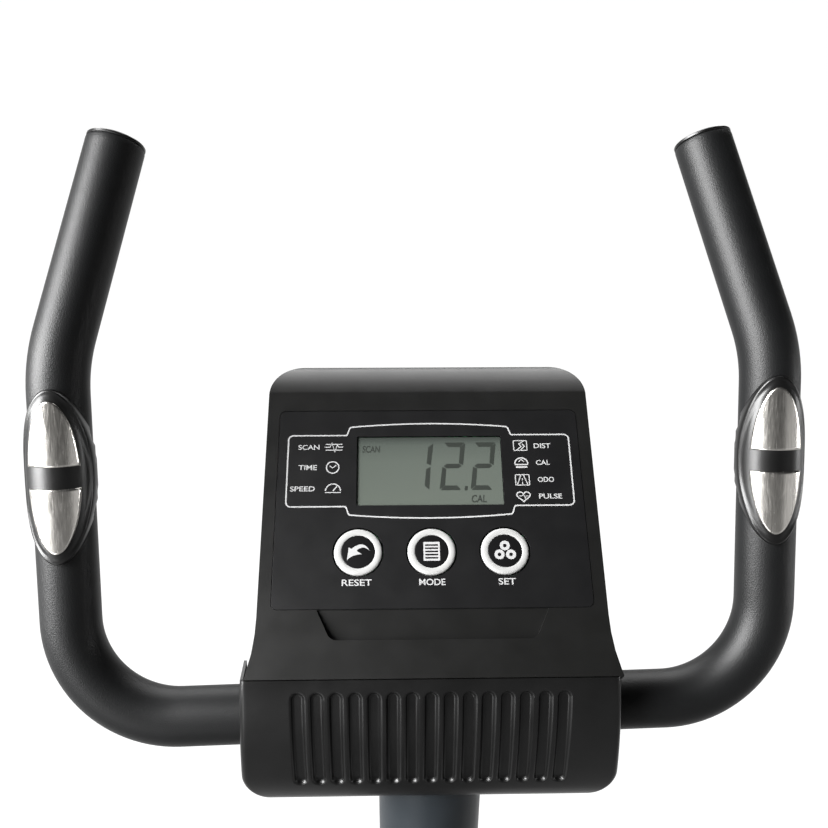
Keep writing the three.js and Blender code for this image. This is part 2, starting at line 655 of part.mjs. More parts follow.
// The rail slides in the sleeve and carries the saddle's plate on a riser at each end.
const SADDLE_Y = postTop.y;
const PLATE_Z = SLEEVE_HALF + 8;
function railSolid() {
  const rail = cut(
    box([2 * RAIL_HALF, RAIL_LENGTH, 2 * RAIL_HALF], [0, 0, 0]),
    box([2 * RAIL_HALF - 5, RAIL_LENGTH + 10, 2 * RAIL_HALF - 5], [0, 0, 0]),
  );
  const risers = [-1, 1].map((end) =>
    box([2 * RAIL_HALF, 10, PLATE_Z - RAIL_HALF + 3], [0, end * (RAIL_LENGTH / 2 - 5), (PLATE_Z + RAIL_HALF) / 2]),
  );
  const plate = box([76, RAIL_LENGTH, 4], [0, 0, PLATE_Z + 2]);
  return union(rail, plate, ...risers);
}
place("saddle_rail", railSolid(), BLACK_STEEL).position.set(0, SADDLE_Y, RAIL_Z);
const slideKnob = place("saddle_slide_knob", knobSolid(17, 22, 5, 4.2, 4), BLACK_PLASTIC);
slideKnob.position.set(SLEEVE_HALF + GAP, SADDLE_Y + SCREW_AHEAD, RAIL_Z);
slideKnob.rotation.y = Math.PI / 2;

// Saddle plan: a wide tail and a short nose, drawn in (x, y) with the nose forwards.
function saddlePlan(grow) {
  const s = new THREE.Shape();
  const g = grow;
  s.moveTo(0, 140 + g);
  s.bezierCurveTo(26 + g, 140 + g, 32 + g, 110, 36 + g, 70);
  s.bezierCurveTo(42 + g, 20, 112 + g, -10, 114 + g, -62);
  s.bezierCurveTo(115 + g, -104 - g, 70, -116 - g, 0, -108 - g);
  s.bezierCurveTo(-70, -116 - g, -115 - g, -104 - g, -114 - g, -62);
  s.bezierCurveTo(-112 - g, -10, -42 - g, 20, -36 - g, 70);
  s.bezierCurveTo(-32 - g, 110, -26 - g, 140 + g, 0, 140 + g);
  return s;
}
const SADDLE_PLATE_Z = RAIL_Z + PLATE_Z + 4;
place("saddle_base", extrudeZ(saddlePlan(-4), GAP, 14, 6), BLACK_PLASTIC).position.set(0, SADDLE_Y, SADDLE_PLATE_Z);
const padLayers = [0, 5, 12, 22].map((inset, k) => extrudeZ(saddlePlan(-inset), 14 + GAP, 40 + 7 * k, 6));
place("saddle_pad", union(...padLayers), VINYL).position.set(0, SADDLE_Y, SADDLE_PLATE_Z);

// ---------------------------------------------------------------- handlebar post and brake knob
const CLAMP_HALF_WIDTH = 26;
const CLAMP_BLOCK = 19; // half depth of the clamp in y
const POST_TOP = -34; // from the bar's axis
const KNOB_Z = 640; // brake knob's height above the floor
const CLAMP_BOLT_Z = -23;
const COVER_BACK = 56; // rear of the clamp covers
const alongBar = (x) => [x * Math.cos(BAR_YAW), x * Math.sin(BAR_YAW), 0];
const toHead = (p) => [p[0] - BAR_CENTRE[0], p[1] - BAR_CENTRE[1], p[2] - BAR_CENTRE[2]];

function postSolid() {
  const top = toHead(postAt(BAR_CENTRE[2] + POST_TOP));
  const tube = rod(POST_R, toHead(postAt(POST_FOOT)), top, 30);
  const boreTop = toHead(postAt(BAR_CENTRE[2] + POST_TOP - 6));
  const bore = rod(STUB_R + 0.4, toHead(postAt(POST_FOOT - 5)), boreTop, 24);
  const block = box([2 * CLAMP_HALF_WIDTH, 2 * CLAMP_BLOCK, -POST_TOP + 1], [0, 0, POST_TOP / 2 - 0.5]);
  const bossAt = toHead(postAt(KNOB_Z));
  const knobBoss = rod(20, bossAt, [bossAt[0], bossAt[1] - POST_R - 8, bossAt[2]], 24);
  const barSeat = rod(BAR_R + GAP, alongBar(-60), alongBar(60), 24);
  const bolt = rod(4.4, [0, 0, CLAMP_BOLT_Z], [0, 60, CLAMP_BOLT_Z], 16);
  const knobHole = rod(5.5, [bossAt[0], bossAt[1] - POST_R + 6, bossAt[2]], [bossAt[0], bossAt[1] - POST_R - 20, bossAt[2]], 16);
  const solidPost = cut(union(tube, block), bore);
  return cut(union(solidPost, cut(knobBoss, bore)), barSeat, bolt, knobHole);
}
place("handlebar_post", postSolid(), GREY_STEEL, head);

const capBlock = cut(
  box([2 * CLAMP_HALF_WIDTH, 2 * CLAMP_BLOCK, 19.4], [0, 0, 0.6 + 9.7]),
  rod(BAR_R + GAP, alongBar(-60), alongBar(60), 24),
);
place("bar_clamp_cap", capBlock, BARE_STEEL, head);

// The bracket stands on the clamp cap and carries the console on its sloping top.
const bracketProfile = shapeOf([
  [-8, 20.3],
  [18, 20.3],
  [38, 28.6],
  [38, 31.4],
  [-6, 26.8],
]);
place("console_bracket", extrudeX(bracketProfile, 64), BARE_STEEL, head);

const brakeKnob = place("tension_knob", knobSolid(27, 24, 8, 5, 20), BLACK_PLASTIC);
const brakeAt = postAt(KNOB_Z);
brakeKnob.position.set(0, brakeAt[1] - POST_R - 8 - GAP, brakeAt[2]);
brakeKnob.rotation.x = Math.PI / 2;

const clampKnob = place("clamp_knob", knobSolid(24, 20, 5, 4, 42), BLACK_PLASTIC, head);
clampKnob.position.set(0, COVER_BACK + 1.5, CLAMP_BOLT_Z);
clampKnob.rotation.x = -Math.PI / 2;

// ---------------------------------------------------------------- clamp covers
const COVER_HALF_WIDTH = 103.5;
const COVER_BOTTOM = -54;
const COVER_WALL = 2.5;
const COVER_CORNER = 24;
const FLUTE_COUNT = 15;
const FLUTE_PITCH = 10.35;
const FLUTE_WIDTH = 7.4;
const FLUTE_DEPTH = 1.4;
const FLUTE_TOP = 29;
const FLUTE_END = -33;

// Side profile of the two covers together, in (y, z) from the bar's axis.
function coverProfile(inset) {
  const i = inset;
  const low = COVER_BOTTOM + i;
  const s = new THREE.Shape();
  s.moveTo(-19.3 + i, 60);
  s.lineTo(-19.3 + i, 36);
  s.bezierCurveTo(-24 + i, 26, -27.5 + i, 10, -27 + i, -12);
  s.bezierCurveTo(-26.5 + i, -34, -22 + i, low, -8, low);
  s.lineTo(36, low);
  s.bezierCurveTo(50 - i, low, COVER_BACK - i, -34, COVER_BACK - i, -16);
  s.lineTo(COVER_BACK - 2 - i, 60);
  return s;
}
// Front outline of the covers, in (x, z): straight sides and large lower corners.
function coverOutline(inset) {
  const w = COVER_HALF_WIDTH - inset;
  const r = COVER_CORNER - inset;
  const bottom = COVER_BOTTOM + inset;
  const s = new THREE.Shape();
  s.moveTo(-w, 60);
  s.lineTo(-w, bottom + r);
  s.absarc(-w + r, bottom + r, r, Math.PI, 1.5 * Math.PI);
  s.lineTo(w - r, bottom);
  s.absarc(w - r, bottom + r, r, 1.5 * Math.PI, 2 * Math.PI);
  s.lineTo(w, 60);
  return s;
}
const coverBlock = (inset) =>
  extrudeX(coverProfile(inset), 2 * COVER_HALF_WIDTH + 10, undefined, 4).intersect(
    extrudeY(coverOutline(inset), -60, 60, 5),
  );
function fluteShape(x) {
  const s = new THREE.Shape();
  const r = FLUTE_WIDTH / 2;
  s.absarc(x, FLUTE_TOP - r, r, 0, Math.PI);
  s.absarc(x, FLUTE_END + r, r, Math.PI, 2 * Math.PI);
  return s;
}
// What the console takes out of the covers' top, in (y, z) from the bar's axis.
const UNDER_CONSOLE = [
  [-70, 35.6],
  [-19.7, 35.6],
  [-10.9, 24.8],
  [-7.6, 26.6],
  [42.4, 31.9],
  [80, 62.9],
  [80, 120],
  [-70, 120],
];
function coverSolids() {
  const outer = coverBlock(0);
  const shell = cut(outer, coverBlock(COVER_WALL));
  const underConsole = extrudeX(shapeOf(UNDER_CONSOLE), 300);
  const barHole = rod(FOAM_R + 1.2, alongBar(-130), alongBar(130), 24);
  const postHole = rod(POST_R + 0.5, toHead(postAt(800)), toHead(postAt(BAR_CENTRE[2])), 30);
  const boltHole = rod(7, [0, 30, CLAMP_BOLT_Z], [0, 70, CLAMP_BOLT_Z], 16);
  const flutes = Array.from({ length: FLUTE_COUNT }, (_, k) => {
    const x = (k - (FLUTE_COUNT - 1) / 2) * FLUTE_PITCH;
    return extrudeY(fluteShape(x), -60, -15, 3);
  });
  const grooves = cut(union(...flutes), coverBlock(FLUTE_DEPTH));
  const open = cut(shell, underConsole, barHole, postHole, boltHole, grooves);
  const front = open.intersect(box([300, 100, 300], [0, -50.15, 0]));
  const rear = open.intersect(box([300, 100, 300], [0, 50.15, 0]));
  return { front, rear };
}
const covers = coverSolids();
place("clamp_cover_front", covers.front, BLACK_PLASTIC, head);
place("clamp_cover_rear", covers.rear, BLACK_PLASTIC, head);

// ---------------------------------------------------------------- console
// Drawn in (x, v, n): across, up the face, and out of the face. n = 0 is the face.
const PANEL = { halfWidth: 90.7, low: 38, high: 161.7, depth: 1 };
const SCREEN = { halfWidth: 43.5, low: 99.8, high: 144.2 };
const BUTTON_V = 71.3;
const BUTTON_PITCH = 42.1;
const BUTTON_R = 14.2;
const LEDGE = { low: 21, halfLow: 57, halfHigh: 65, depth: 4 };
const TOP_CORNER = 26;

function facePlan(inset) {
  const s = new THREE.Shape();
  const w = FACE_HALF_WIDTH - inset;
  const flare = FACE_FLARE - inset;
  const r = TOP_CORNER - inset;
  const top = FACE_LENGTH - inset;
  s.moveTo(-flare, inset);
  s.lineTo(flare, inset);
  s.lineTo(w, FLARE_TOP);
  s.lineTo(w, top - r);
  s.absarc(w - r, top - r, r, 0, Math.PI / 2);
  s.lineTo(-w + r, top);
  s.absarc(-w + r, top - r, r, Math.PI / 2, Math.PI);
  s.lineTo(-w, FLARE_TOP);
  return s;
}
// Side profiles in (v, n), extruded along x: the front case's lip rolls over at the top.
function frontProfile(inset) {
  const s = new THREE.Shape();
  s.moveTo(-10, -CASE_SPLIT - (inset ? 10 : 0));
  s.lineTo(-10, -inset);
  s.lineTo(FACE_FLAT, -inset);
  s.absellipse(FACE_FLAT, -CASE_SPLIT, FACE_LENGTH - FACE_FLAT - inset, CASE_SPLIT - inset, Math.PI / 2, 0, true);
  if (inset) s.lineTo(FACE_LENGTH - inset, -CASE_SPLIT - 10);
  return s;
}
function backProfile(inset) {
  const i = inset;
  return shapeOf([
    [3 + 1.5 * i, -CASE_SPLIT - GAP + (i ? 10 : 0)],
    [45 + 0.5 * i, -CASE_DEPTH + i],
    [172 - 0.5 * i, -CASE_DEPTH + i],
    [FACE_LENGTH - i, -26 + 0.3 * i],
    [FACE_LENGTH - i, -CASE_SPLIT - GAP + (i ? 10 : 0)],
  ]);
}
function frontCaseSolid() {
  const block = (inset) =>
    extrudeX(frontProfile(inset), 220, undefined, 5).intersect(extrudeZ(facePlan(inset), -60, 20, 5));
  const shell = cut(block(0), block(CASE_WALL));
  const recess = extrudeZ(
    roundedRect(-PANEL.halfWidth, PANEL.low, PANEL.halfWidth, PANEL.high, 3),
    -PANEL.depth,
    10,
    3,
  );
  const window = extrudeZ(
    roundedRect(-SCREEN.halfWidth - 1, SCREEN.low - 1, SCREEN.halfWidth + 1, SCREEN.high + 1, 1),
    -10,
    10,
    2,
  );
  const holes = [-1, 0, 1].map((i) => extrudeZ(circle(BUTTON_R + 0.6, i * BUTTON_PITCH, BUTTON_V), -10, 10, 10));
  const ledge = extrudeZ(
    shapeOf([
      [-LEDGE.halfLow, LEDGE.low],
      [LEDGE.halfLow, LEDGE.low],
      [LEDGE.halfHigh, PANEL.low + 0.1],
      [-LEDGE.halfHigh, PANEL.low + 0.1],
    ]),
    -LEDGE.depth,
    10,
  );
  const ledgeBack = box(
    [2 * LEDGE.halfHigh + 4, PANEL.low - LEDGE.low + 4, LEDGE.depth + 1],
    [0, (PANEL.low + LEDGE.low) / 2, -LEDGE.depth / 2 - 1.5],
  );
  return cut(union(shell, ledgeBack), recess, window, ledge, ...holes);
}
place("console_front_case", frontCaseSolid(), BLACK_PLASTIC, consoleGroup);

function backCaseSolid() {
  const block = (inset) =>
    extrudeX(backProfile(inset), 220).intersect(extrudeZ(facePlan(inset), -60, 20, 6));
  const shell = cut(block(0), block(CASE_WALL));
  const cableHole = extrudeZ(circle(5, 30, 60), -50, -30, 8);
  return cut(shell, cableHole);
}
place("console_back_case", backCaseSolid(), BLACK_PLASTIC, consoleGroup);

const overlay = cut(
  extrudeZ(
    roundedRect(-PANEL.halfWidth + GAP, PANEL.low + GAP, PANEL.halfWidth - GAP, PANEL.high - GAP, 3),
    -PANEL.depth + GAP,
    -0.1,
    3,
  ),
  extrudeZ(roundedRect(-SCREEN.halfWidth, SCREEN.low, SCREEN.halfWidth, SCREEN.high, 1), -10, 10, 2),
  ...[-1, 0, 1].map((i) => extrudeZ(circle(BUTTON_R + 0.6, i * BUTTON_PITCH, BUTTON_V), -10, 10, 10)),
);
place("panel_overlay", overlay, GLOSS_PANEL, consoleGroup);

const screenMiddle = (SCREEN.low + SCREEN.high) / 2;
const screen = union(
  box([2 * SCREEN.halfWidth - 0.8, SCREEN.high - SCREEN.low - 0.8, 4], [0, screenMiddle, -2.9]),
  box([2 * SCREEN.halfWidth + 10, SCREEN.high - SCREEN.low + 10, 3], [0, screenMiddle, -4.6]),
);
place("lcd_screen", screen, LCD, consoleGroup);
place("circuit_board", box([150, 112, 1.6], [0, 100, -12]), BOARD, consoleGroup);

function buttonSolid() {
  const cap = new THREE.LatheGeometry(
    [
      [0, -5],
      [BUTTON_R, -5],
      [BUTTON_R, 0.2],
      [BUTTON_R - 0.8, 0.8],
      [BUTTON_R * 0.6, 1.1],
      [0, 1.1],
    ].map(([r, z]) => new THREE.Vector2(r, z)),
    20,
  );
  cap.rotateX(Math.PI / 2);
  return union(solid(cap), rod(3, [0, 0, -9.5], [0, 0, -4], 12));
}
["reset_button", "mode_button", "set_button"].forEach((name, i) => {
  place(name, buttonSolid(), WHITE_PLASTIC, consoleGroup).position.set((i - 1) * BUTTON_PITCH, BUTTON_V, 0);
});

place(
  "battery_door",
  extrudeZ(roundedRect(-32, 100, 32, 144, 3), -CASE_DEPTH - 2, -CASE_DEPTH - GAP, 3),
  BLACK_PLASTIC,
  consoleGroup,
);

// ---------------------------------------------------------------- handlebar
// One tube from tip to tip: out from the clamp, up the grip, then forwards and in along the horn.
const BAR_CORNERS = [
  [0, 0, 0],
  [GRIP_X, 0, 0],
  [GRIP_X, 60.7, 191],
  [168.1, 130.7, 294.5],
].map((p) => new THREE.Vector3(...p));
const BAR_BENDS = [58.5, 92];
const FOAM_START = 87;
const halfRoute = roundedRoute(BAR_CORNERS, BAR_BENDS, [7, 4]);
const mirrored = (p) => new THREE.Vector3(-p.x, p.y, p.z);
const barRoute = [...halfRoute.slice(1).reverse().map(mirrored), ...halfRoute];
const bar = new THREE.Group();
bar.rotation.z = BAR_YAW;
bar.position.set(...alongBar(BAR_SHIFT));
head.add(bar);
place("handlebar", sweep(ring(BAR_R, 12, BAR_R - 2, 8), barRoute), BLACK_STEEL, bar);

// The foam sleeve starts inside the cover's side hole and stops at the tube's end.
const firstOut = halfRoute.findIndex((p) => p.x > FOAM_START);
const [before, after] = [halfRoute[firstOut - 1], halfRoute[firstOut]];
const foamStart = before.clone().lerp(after, (FOAM_START - before.x) / (after.x - before.x));
const foamRoute = [foamStart, ...halfRoute.slice(firstOut)];
const foamShape = ring(FOAM_R, 18, BAR_R + 0.9, 12);

const gripFoot = BAR_CORNERS[1];
const gripAxis = BAR_CORNERS[2].clone().sub(gripFoot).normalize();
const hornAxis = BAR_CORNERS[3].clone().sub(BAR_CORNERS[2]).normalize();

// Pulse sensor: an oval saddle clipped round the foam, with two metal contacts let into it.
const SENSOR = { along: 141, half: 47, halfWidth: 19.3, inner: FOAM_R + GAP, outer: 19.6 };
const PAD = { half: 41, halfWidth: 13.9, gap: 5.8, bottom: 17.9, top: 20.1 };
const SENSOR_TURN = { right: 7.5 * RAD, left: 0 }; // towards the middle

function oval(halfWidth, halfLength) {
  const s = new THREE.Shape();
  s.absellipse(0, 0, halfWidth, halfLength, 0, 2 * Math.PI);
  return s;
}
// Drawn with the tube along Z and the rider's side facing -Y.
const sensorSleeve = (outer, inner) =>
  cut(rod(outer, [0, 0, -60], [0, 0, 60], 26), rod(inner, [0, 0, -61], [0, 0, 61], 26));
function sensorHousing() {
  const plate = sensorSleeve(SENSOR.outer, SENSOR.inner + 0.2).intersect(
    extrudeY(oval(SENSOR.halfWidth, SENSOR.half), -30, -1, 9),
  );
  const pocket = (end) => padBlank(end, PAD.bottom - GAP, PAD.top + 2, GAP);
  return cut(plate, pocket(1), pocket(-1));
}
function padBlank(end, inner, outer, grow) {
  const half = extrudeY(oval(PAD.halfWidth + grow, PAD.half + grow), -30, -1, 9).intersect(
    box([60, 60, 60], [0, -15, end * (30 + PAD.gap - grow)]),
  );
  return sensorSleeve(outer, inner).intersect(half);
}

for (const [side, label] of [[1, "right"], [-1, "left"]]) {
  const sided = new THREE.Group();
  if (side < 0) sided.scale.x = -1;
  bar.add(sided);
  place(`grip_foam_${label}`, sweep(foamShape, foamRoute), FOAM, sided);

  const tip = BAR_CORNERS[3];
  const plug = union(
    rod(BAR_R - 3.3, tip.clone().addScaledVector(hornAxis, -14).toArray(), tip.clone().addScaledVector(hornAxis, 1).toArray(), 16),
    rod(FOAM_R - 0.2, tip.clone().addScaledVector(hornAxis, GAP).toArray(), tip.clone().addScaledVector(hornAxis, 2.2).toArray(), 24),
  );
  place(`bar_end_cap_${label}`, plug, BLACK_PLASTIC, sided);

  const sensor = new THREE.Group();
  sensor.position.copy(gripFoot.clone().addScaledVector(gripAxis, SENSOR.along));
  sensor.rotation.x = -Math.atan2(gripAxis.y, gripAxis.z);
  sided.add(sensor);
  const turned = new THREE.Group();
  turned.rotation.z = -SENSOR_TURN[label];
  sensor.add(turned);
  place(`sensor_housing_${label}`, sensorHousing(), BLACK_PLASTIC, turned);
  place(`upper_contact_${label}`, padBlank(1, PAD.bottom, PAD.top, 0), BARE_STEEL, turned);
  place(`lower_contact_${label}`, padBlank(-1, PAD.bottom, PAD.top, 0), BARE_STEEL, turned);
}

export default bike;
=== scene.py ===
"""Looks for an upright exercise bike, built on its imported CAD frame.

The scene is in metres, with +X at the rider's right and +Y forwards. Sizes of the head's pieces are in
millimetres, in the local frames HEAD, FACE and BAR, which turn them into metres.
"""
import json
import math
from functools import partial

import bmesh
import bpy
import numpy as np
from mathutils import Matrix, Vector


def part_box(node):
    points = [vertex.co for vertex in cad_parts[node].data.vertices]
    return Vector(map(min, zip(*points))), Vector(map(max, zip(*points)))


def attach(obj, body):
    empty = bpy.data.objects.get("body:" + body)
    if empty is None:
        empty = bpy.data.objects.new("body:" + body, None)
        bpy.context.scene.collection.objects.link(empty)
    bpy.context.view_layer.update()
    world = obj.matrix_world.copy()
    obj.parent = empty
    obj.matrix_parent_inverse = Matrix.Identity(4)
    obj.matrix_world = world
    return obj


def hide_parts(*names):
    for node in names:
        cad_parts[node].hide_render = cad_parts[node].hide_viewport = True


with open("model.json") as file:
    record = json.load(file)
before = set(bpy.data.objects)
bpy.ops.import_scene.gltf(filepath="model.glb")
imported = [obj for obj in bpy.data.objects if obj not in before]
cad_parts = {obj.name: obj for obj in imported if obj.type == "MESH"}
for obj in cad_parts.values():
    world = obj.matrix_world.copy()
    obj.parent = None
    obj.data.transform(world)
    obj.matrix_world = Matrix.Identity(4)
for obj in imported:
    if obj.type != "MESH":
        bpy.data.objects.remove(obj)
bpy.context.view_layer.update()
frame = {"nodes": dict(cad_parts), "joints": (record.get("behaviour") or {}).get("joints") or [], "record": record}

MM = 0.001
BODY_OF = {node: body for body, nodes in frame["record"]["behaviour"]["bodies"].items() for node in nodes}
# the middle of the bar clamp
BAR_AXIS = next(Vector(joint["pos_m"]) for joint in frame["joints"] if joint["name"] == "handlebar_tilt")


# ------------------------------------------------------------------ camera
CAMERA_FROM_BAR = Vector((-0.0221, -0.4358, 0.3797))
CAMERA_YAW, CAMERA_DOWN, CAMERA_ROLL = (math.radians(a) for a in (1.41, 24.18, 0.28))
LENS_MM, SENSOR_MM = 41.96, 36


def make_camera():
    """A 42 mm lens above the saddle, looking down over the computer."""
    level, drop = math.cos(CAMERA_DOWN), math.sin(CAMERA_DOWN)
    forward = Vector((math.sin(CAMERA_YAW) * level, math.cos(CAMERA_YAW) * level, -drop))
    right = Vector((math.cos(CAMERA_YAW), -math.sin(CAMERA_YAW), 0))
    up = right.cross(forward)
    across = right * math.cos(CAMERA_ROLL) + up * math.sin(CAMERA_ROLL)
    upward = up * math.cos(CAMERA_ROLL) - right * math.sin(CAMERA_ROLL)
    turn = Matrix((across, upward, -forward)).transposed()
    data = bpy.data.cameras.new("camera")
    data.lens, data.sensor_width = LENS_MM, SENSOR_MM
    data.clip_start, data.clip_end = 0.05, 600
    camera = bpy.data.objects.new("camera", data)
    bpy.context.scene.collection.objects.link(camera)
    camera.matrix_world = Matrix.Translation(BAR_AXIS + CAMERA_FROM_BAR) @ turn.to_4x4()
    bpy.context.scene.camera = camera


# ------------------------------------------------------------------ shader helpers
def coordinates(tree, kind):
    """The X, Y and Z outputs of a texture coordinate."""
    split = tree.nodes.new("ShaderNodeSeparateXYZ")
    tree.links.new(tree.nodes.new("ShaderNodeTexCoord").outputs[kind], split.inputs[0])
    return split.outputs


def map_range(tree, source, given, wanted, smooth=False):
    """Carries source from the range `given` over to the range `wanted`."""
    node = tree.nodes.new("ShaderNodeMapRange")
    if smooth:
        node.interpolation_type = "SMOOTHSTEP"
    for socket, value in zip(("From Min", "From Max", "To Min", "To Max"), (*given, *wanted)):
        node.inputs[socket].default_value = value
    tree.links.new(source, node.inputs["Value"])
    return node.outputs["Result"]


def colour_ramp(tree, source, stops):
    """Colours by position, from stops [(position, (r, g, b))] in rising order."""
    node = tree.nodes.new("ShaderNodeValToRGB")
    elements = node.color_ramp.elements
    for element, (position, colour) in zip(elements, (stops[0], stops[-1])):
        element.position, element.color = position, (*colour, 1)
    for position, colour in stops[1:-1]:
        elements.new(position).color = (*colour, 1)
    tree.links.new(source, node.inputs["Fac"])
    return node.outputs["Color"]


def noise(tree, vector, scale, detail):
    node = tree.nodes.new("ShaderNodeTexNoise")
    node.inputs["Scale"].default_value, node.inputs["Detail"].default_value = scale, detail
    tree.links.new(vector, node.inputs["Vector"])
    return node.outputs["Fac"]


def principled(name, settings):
    """A new material, its node tree and its shader with the given socket values."""
    mat = bpy.data.materials.new(name)
    mat.use_nodes = True
    shader = mat.node_tree.nodes["Principled BSDF"]
    for socket, value in settings.items():
        shader.inputs[socket].default_value = value
    return mat, mat.node_tree, shader


# ------------------------------------------------------------------ surroundings, lights and floor
WORLD_LEFT, WORLD_RIGHT = 0.3, 0.07  # brightness of the surroundings at the rider's left and right
SKY = [(0, (1, 0.99, 0.97)), (0.3, (0.7, 0.7, 0.69)), (0.8, (0.3, 0.305, 0.31))]  # by height
HAZE_TOP = 0.14  # height of the bright band above the horizon, which carries on the floor's brightness
HAZE_BEHIND, HAZE_AHEAD, HAZE_BLEND = 0.34, 1.0, 0.12
FLOOR_SIZE = 500
FLOOR_GREY = 0.035
GLOW_BEHIND, GLOW_AHEAD, GLOW_RANGE = 0.42, 1.0, (-0.4, 1.05)  # the floor's own light, and its span in y
LIGHTS = [  # name, place, aim, width, power in watts, height or None where it is square
    ("key", (-1.51, -0.33, 1.76), (0, 0.28, 1.0), 1.25, 430, 1.6),
    ("top_back", (0.1, 1.9, 2.5), (0, 0.3, 1.05), 2.6, 110, 1.6),
    ("fill", (1.9, -1.2, 0.9), (0, 0.1, 0.4), 1.4, 3, None),
    ("low", (-1.8, -1.8, 0.8), (0, 0, 0.35), 1.2, 6, None),
    ("front_low", (-1.05, -1.54, 0.34), (0, 0.28, 0.98), 0.9, 17, None),
    ("side_right", (2.8, 0.05, 0.75), (0, 0.05, 0.25), 1.2, 8, 0.8),
]
SPREAD = {"side_right": math.radians(40)}  # lights the casing without reaching the handlebar


def area_light(name, at, aim, width, power, height):
    data = bpy.data.lights.new(name, "AREA")
    data.energy, data.size = power, width
    if height:
        data.shape, data.size_y = "RECTANGLE", height
    if name in SPREAD:
        data.spread = SPREAD[name]
    light = bpy.data.objects.new(name, data)
    bpy.context.scene.collection.objects.link(light)
    light.location = at
    light.visible_camera = False
    light.rotation_euler = (Vector(aim) - Vector(at)).to_track_quat("-Z", "Y").to_euler()


def surroundings():
    """Dim surroundings, brighter at the left, with a bright band just above the horizon."""
    world = bpy.data.worlds.new("studio")
    bpy.context.scene.world = world
    world.use_nodes = True
    tree = world.node_tree
    direction = coordinates(tree, "Generated")
    haze = map_range(tree, direction["Z"], (0, HAZE_TOP), (1, 0), smooth=True)
    level = map_range(tree, direction["Y"], (-HAZE_BLEND, HAZE_BLEND), (HAZE_BEHIND, HAZE_AHEAD))
    sideways = map_range(tree, direction["X"], (-1, 1), (WORLD_LEFT, WORLD_RIGHT))
    total = tree.nodes.new("ShaderNodeMath")
    total.operation = "MULTIPLY_ADD"
    for source, socket in zip((haze, level, sideways), total.inputs):
        tree.links.new(source, socket)
    back = tree.nodes["Background"]
    tree.links.new(colour_ramp(tree, direction["Z"], SKY), back.inputs["Color"])
    tree.links.new(total.outputs[0], back.inputs["Strength"])


def floor_material():
    """A white sweep that glows ahead of the bike, and less under it, where its shadow falls."""
    mat, tree, shader = principled("floor_white", {
        "Base Color": (FLOOR_GREY, FLOOR_GREY, FLOOR_GREY, 1), "Roughness": 0.9, "Specular IOR Level": 0.1,
        "Emission Color": (1, 1, 1, 1)})
    ahead = coordinates(tree, "Object")["Y"]
    glow = map_range(tree, ahead, GLOW_RANGE, (GLOW_BEHIND, GLOW_AHEAD), smooth=True)
    tree.links.new(glow, shader.inputs["Emission Strength"])
    return mat


def studio():
    surroundings()
    for light in LIGHTS:
        area_light(*light)
    bpy.ops.mesh.primitive_plane_add(size=FLOOR_SIZE)
    floor = bpy.context.object
    floor.name = "floor"
    floor.data.materials.append(floor_material())
    view = bpy.context.scene.view_settings
    view.view_transform, view.look, view.exposure, view.gamma = "Standard", "None", 0, 1


# ------------------------------------------------------------------ materials
def surface(name, colour, roughness, metallic=0.0, specular=0.5, coat=0.0, mottle=0.0, mottle_scale=30,
            rough_range=0.0, rough_scale=60, grain=(), stretch=(1, 1, 1)):
    """A procedural finish. grain lists (kind, scale per metre, strength, depth in metres)."""
    mat, tree, shader = principled(name, {
        "Base Color": (*colour, 1), "Roughness": roughness, "Metallic": metallic,
        "Specular IOR Level": specular, "Coat Weight": coat, "Coat Roughness": 0.2})
    mapping = tree.nodes.new("ShaderNodeMapping")
    mapping.inputs["Scale"].default_value = stretch
    tree.links.new(tree.nodes.new("ShaderNodeTexCoord").outputs["Object"], mapping.inputs["Vector"])
    place = mapping.outputs["Vector"]
    if mottle:
        darker, lighter = ([min(c * factor, 1) for c in colour] for factor in (1 - mottle, 1 + mottle))
        cloud = noise(tree, place, mottle_scale, 4)
        tree.links.new(colour_ramp(tree, cloud, [(0.3, darker), (0.7, lighter)]), shader.inputs["Base Color"])
    if rough_range:
        span = (roughness - rough_range, roughness + rough_range)
        patches = map_range(tree, noise(tree, place, rough_scale, 3), (0.3, 0.7), span)
        tree.links.new(patches, shader.inputs["Roughness"])
    normal = None
    for kind, scale, strength, depth in grain:
        if kind == "cells":
            texture = tree.nodes.new("ShaderNodeTexVoronoi")
            texture.inputs["Scale"].default_value = scale
            tree.links.new(place, texture.inputs["Vector"])
            relief = texture.outputs["Distance"]
        else:
            relief = noise(tree, place, scale, 2)
        bump = tree.nodes.new("ShaderNodeBump")
        bump.inputs["Strength"].default_value, bump.inputs["Distance"].default_value = strength, depth
        tree.links.new(relief, bump.inputs["Height"])
        if normal:
            tree.links.new(normal, bump.inputs["Normal"])
        normal = bump.outputs["Normal"]
    if normal:
        tree.links.new(normal, shader.inputs["Normal"])
    return mat


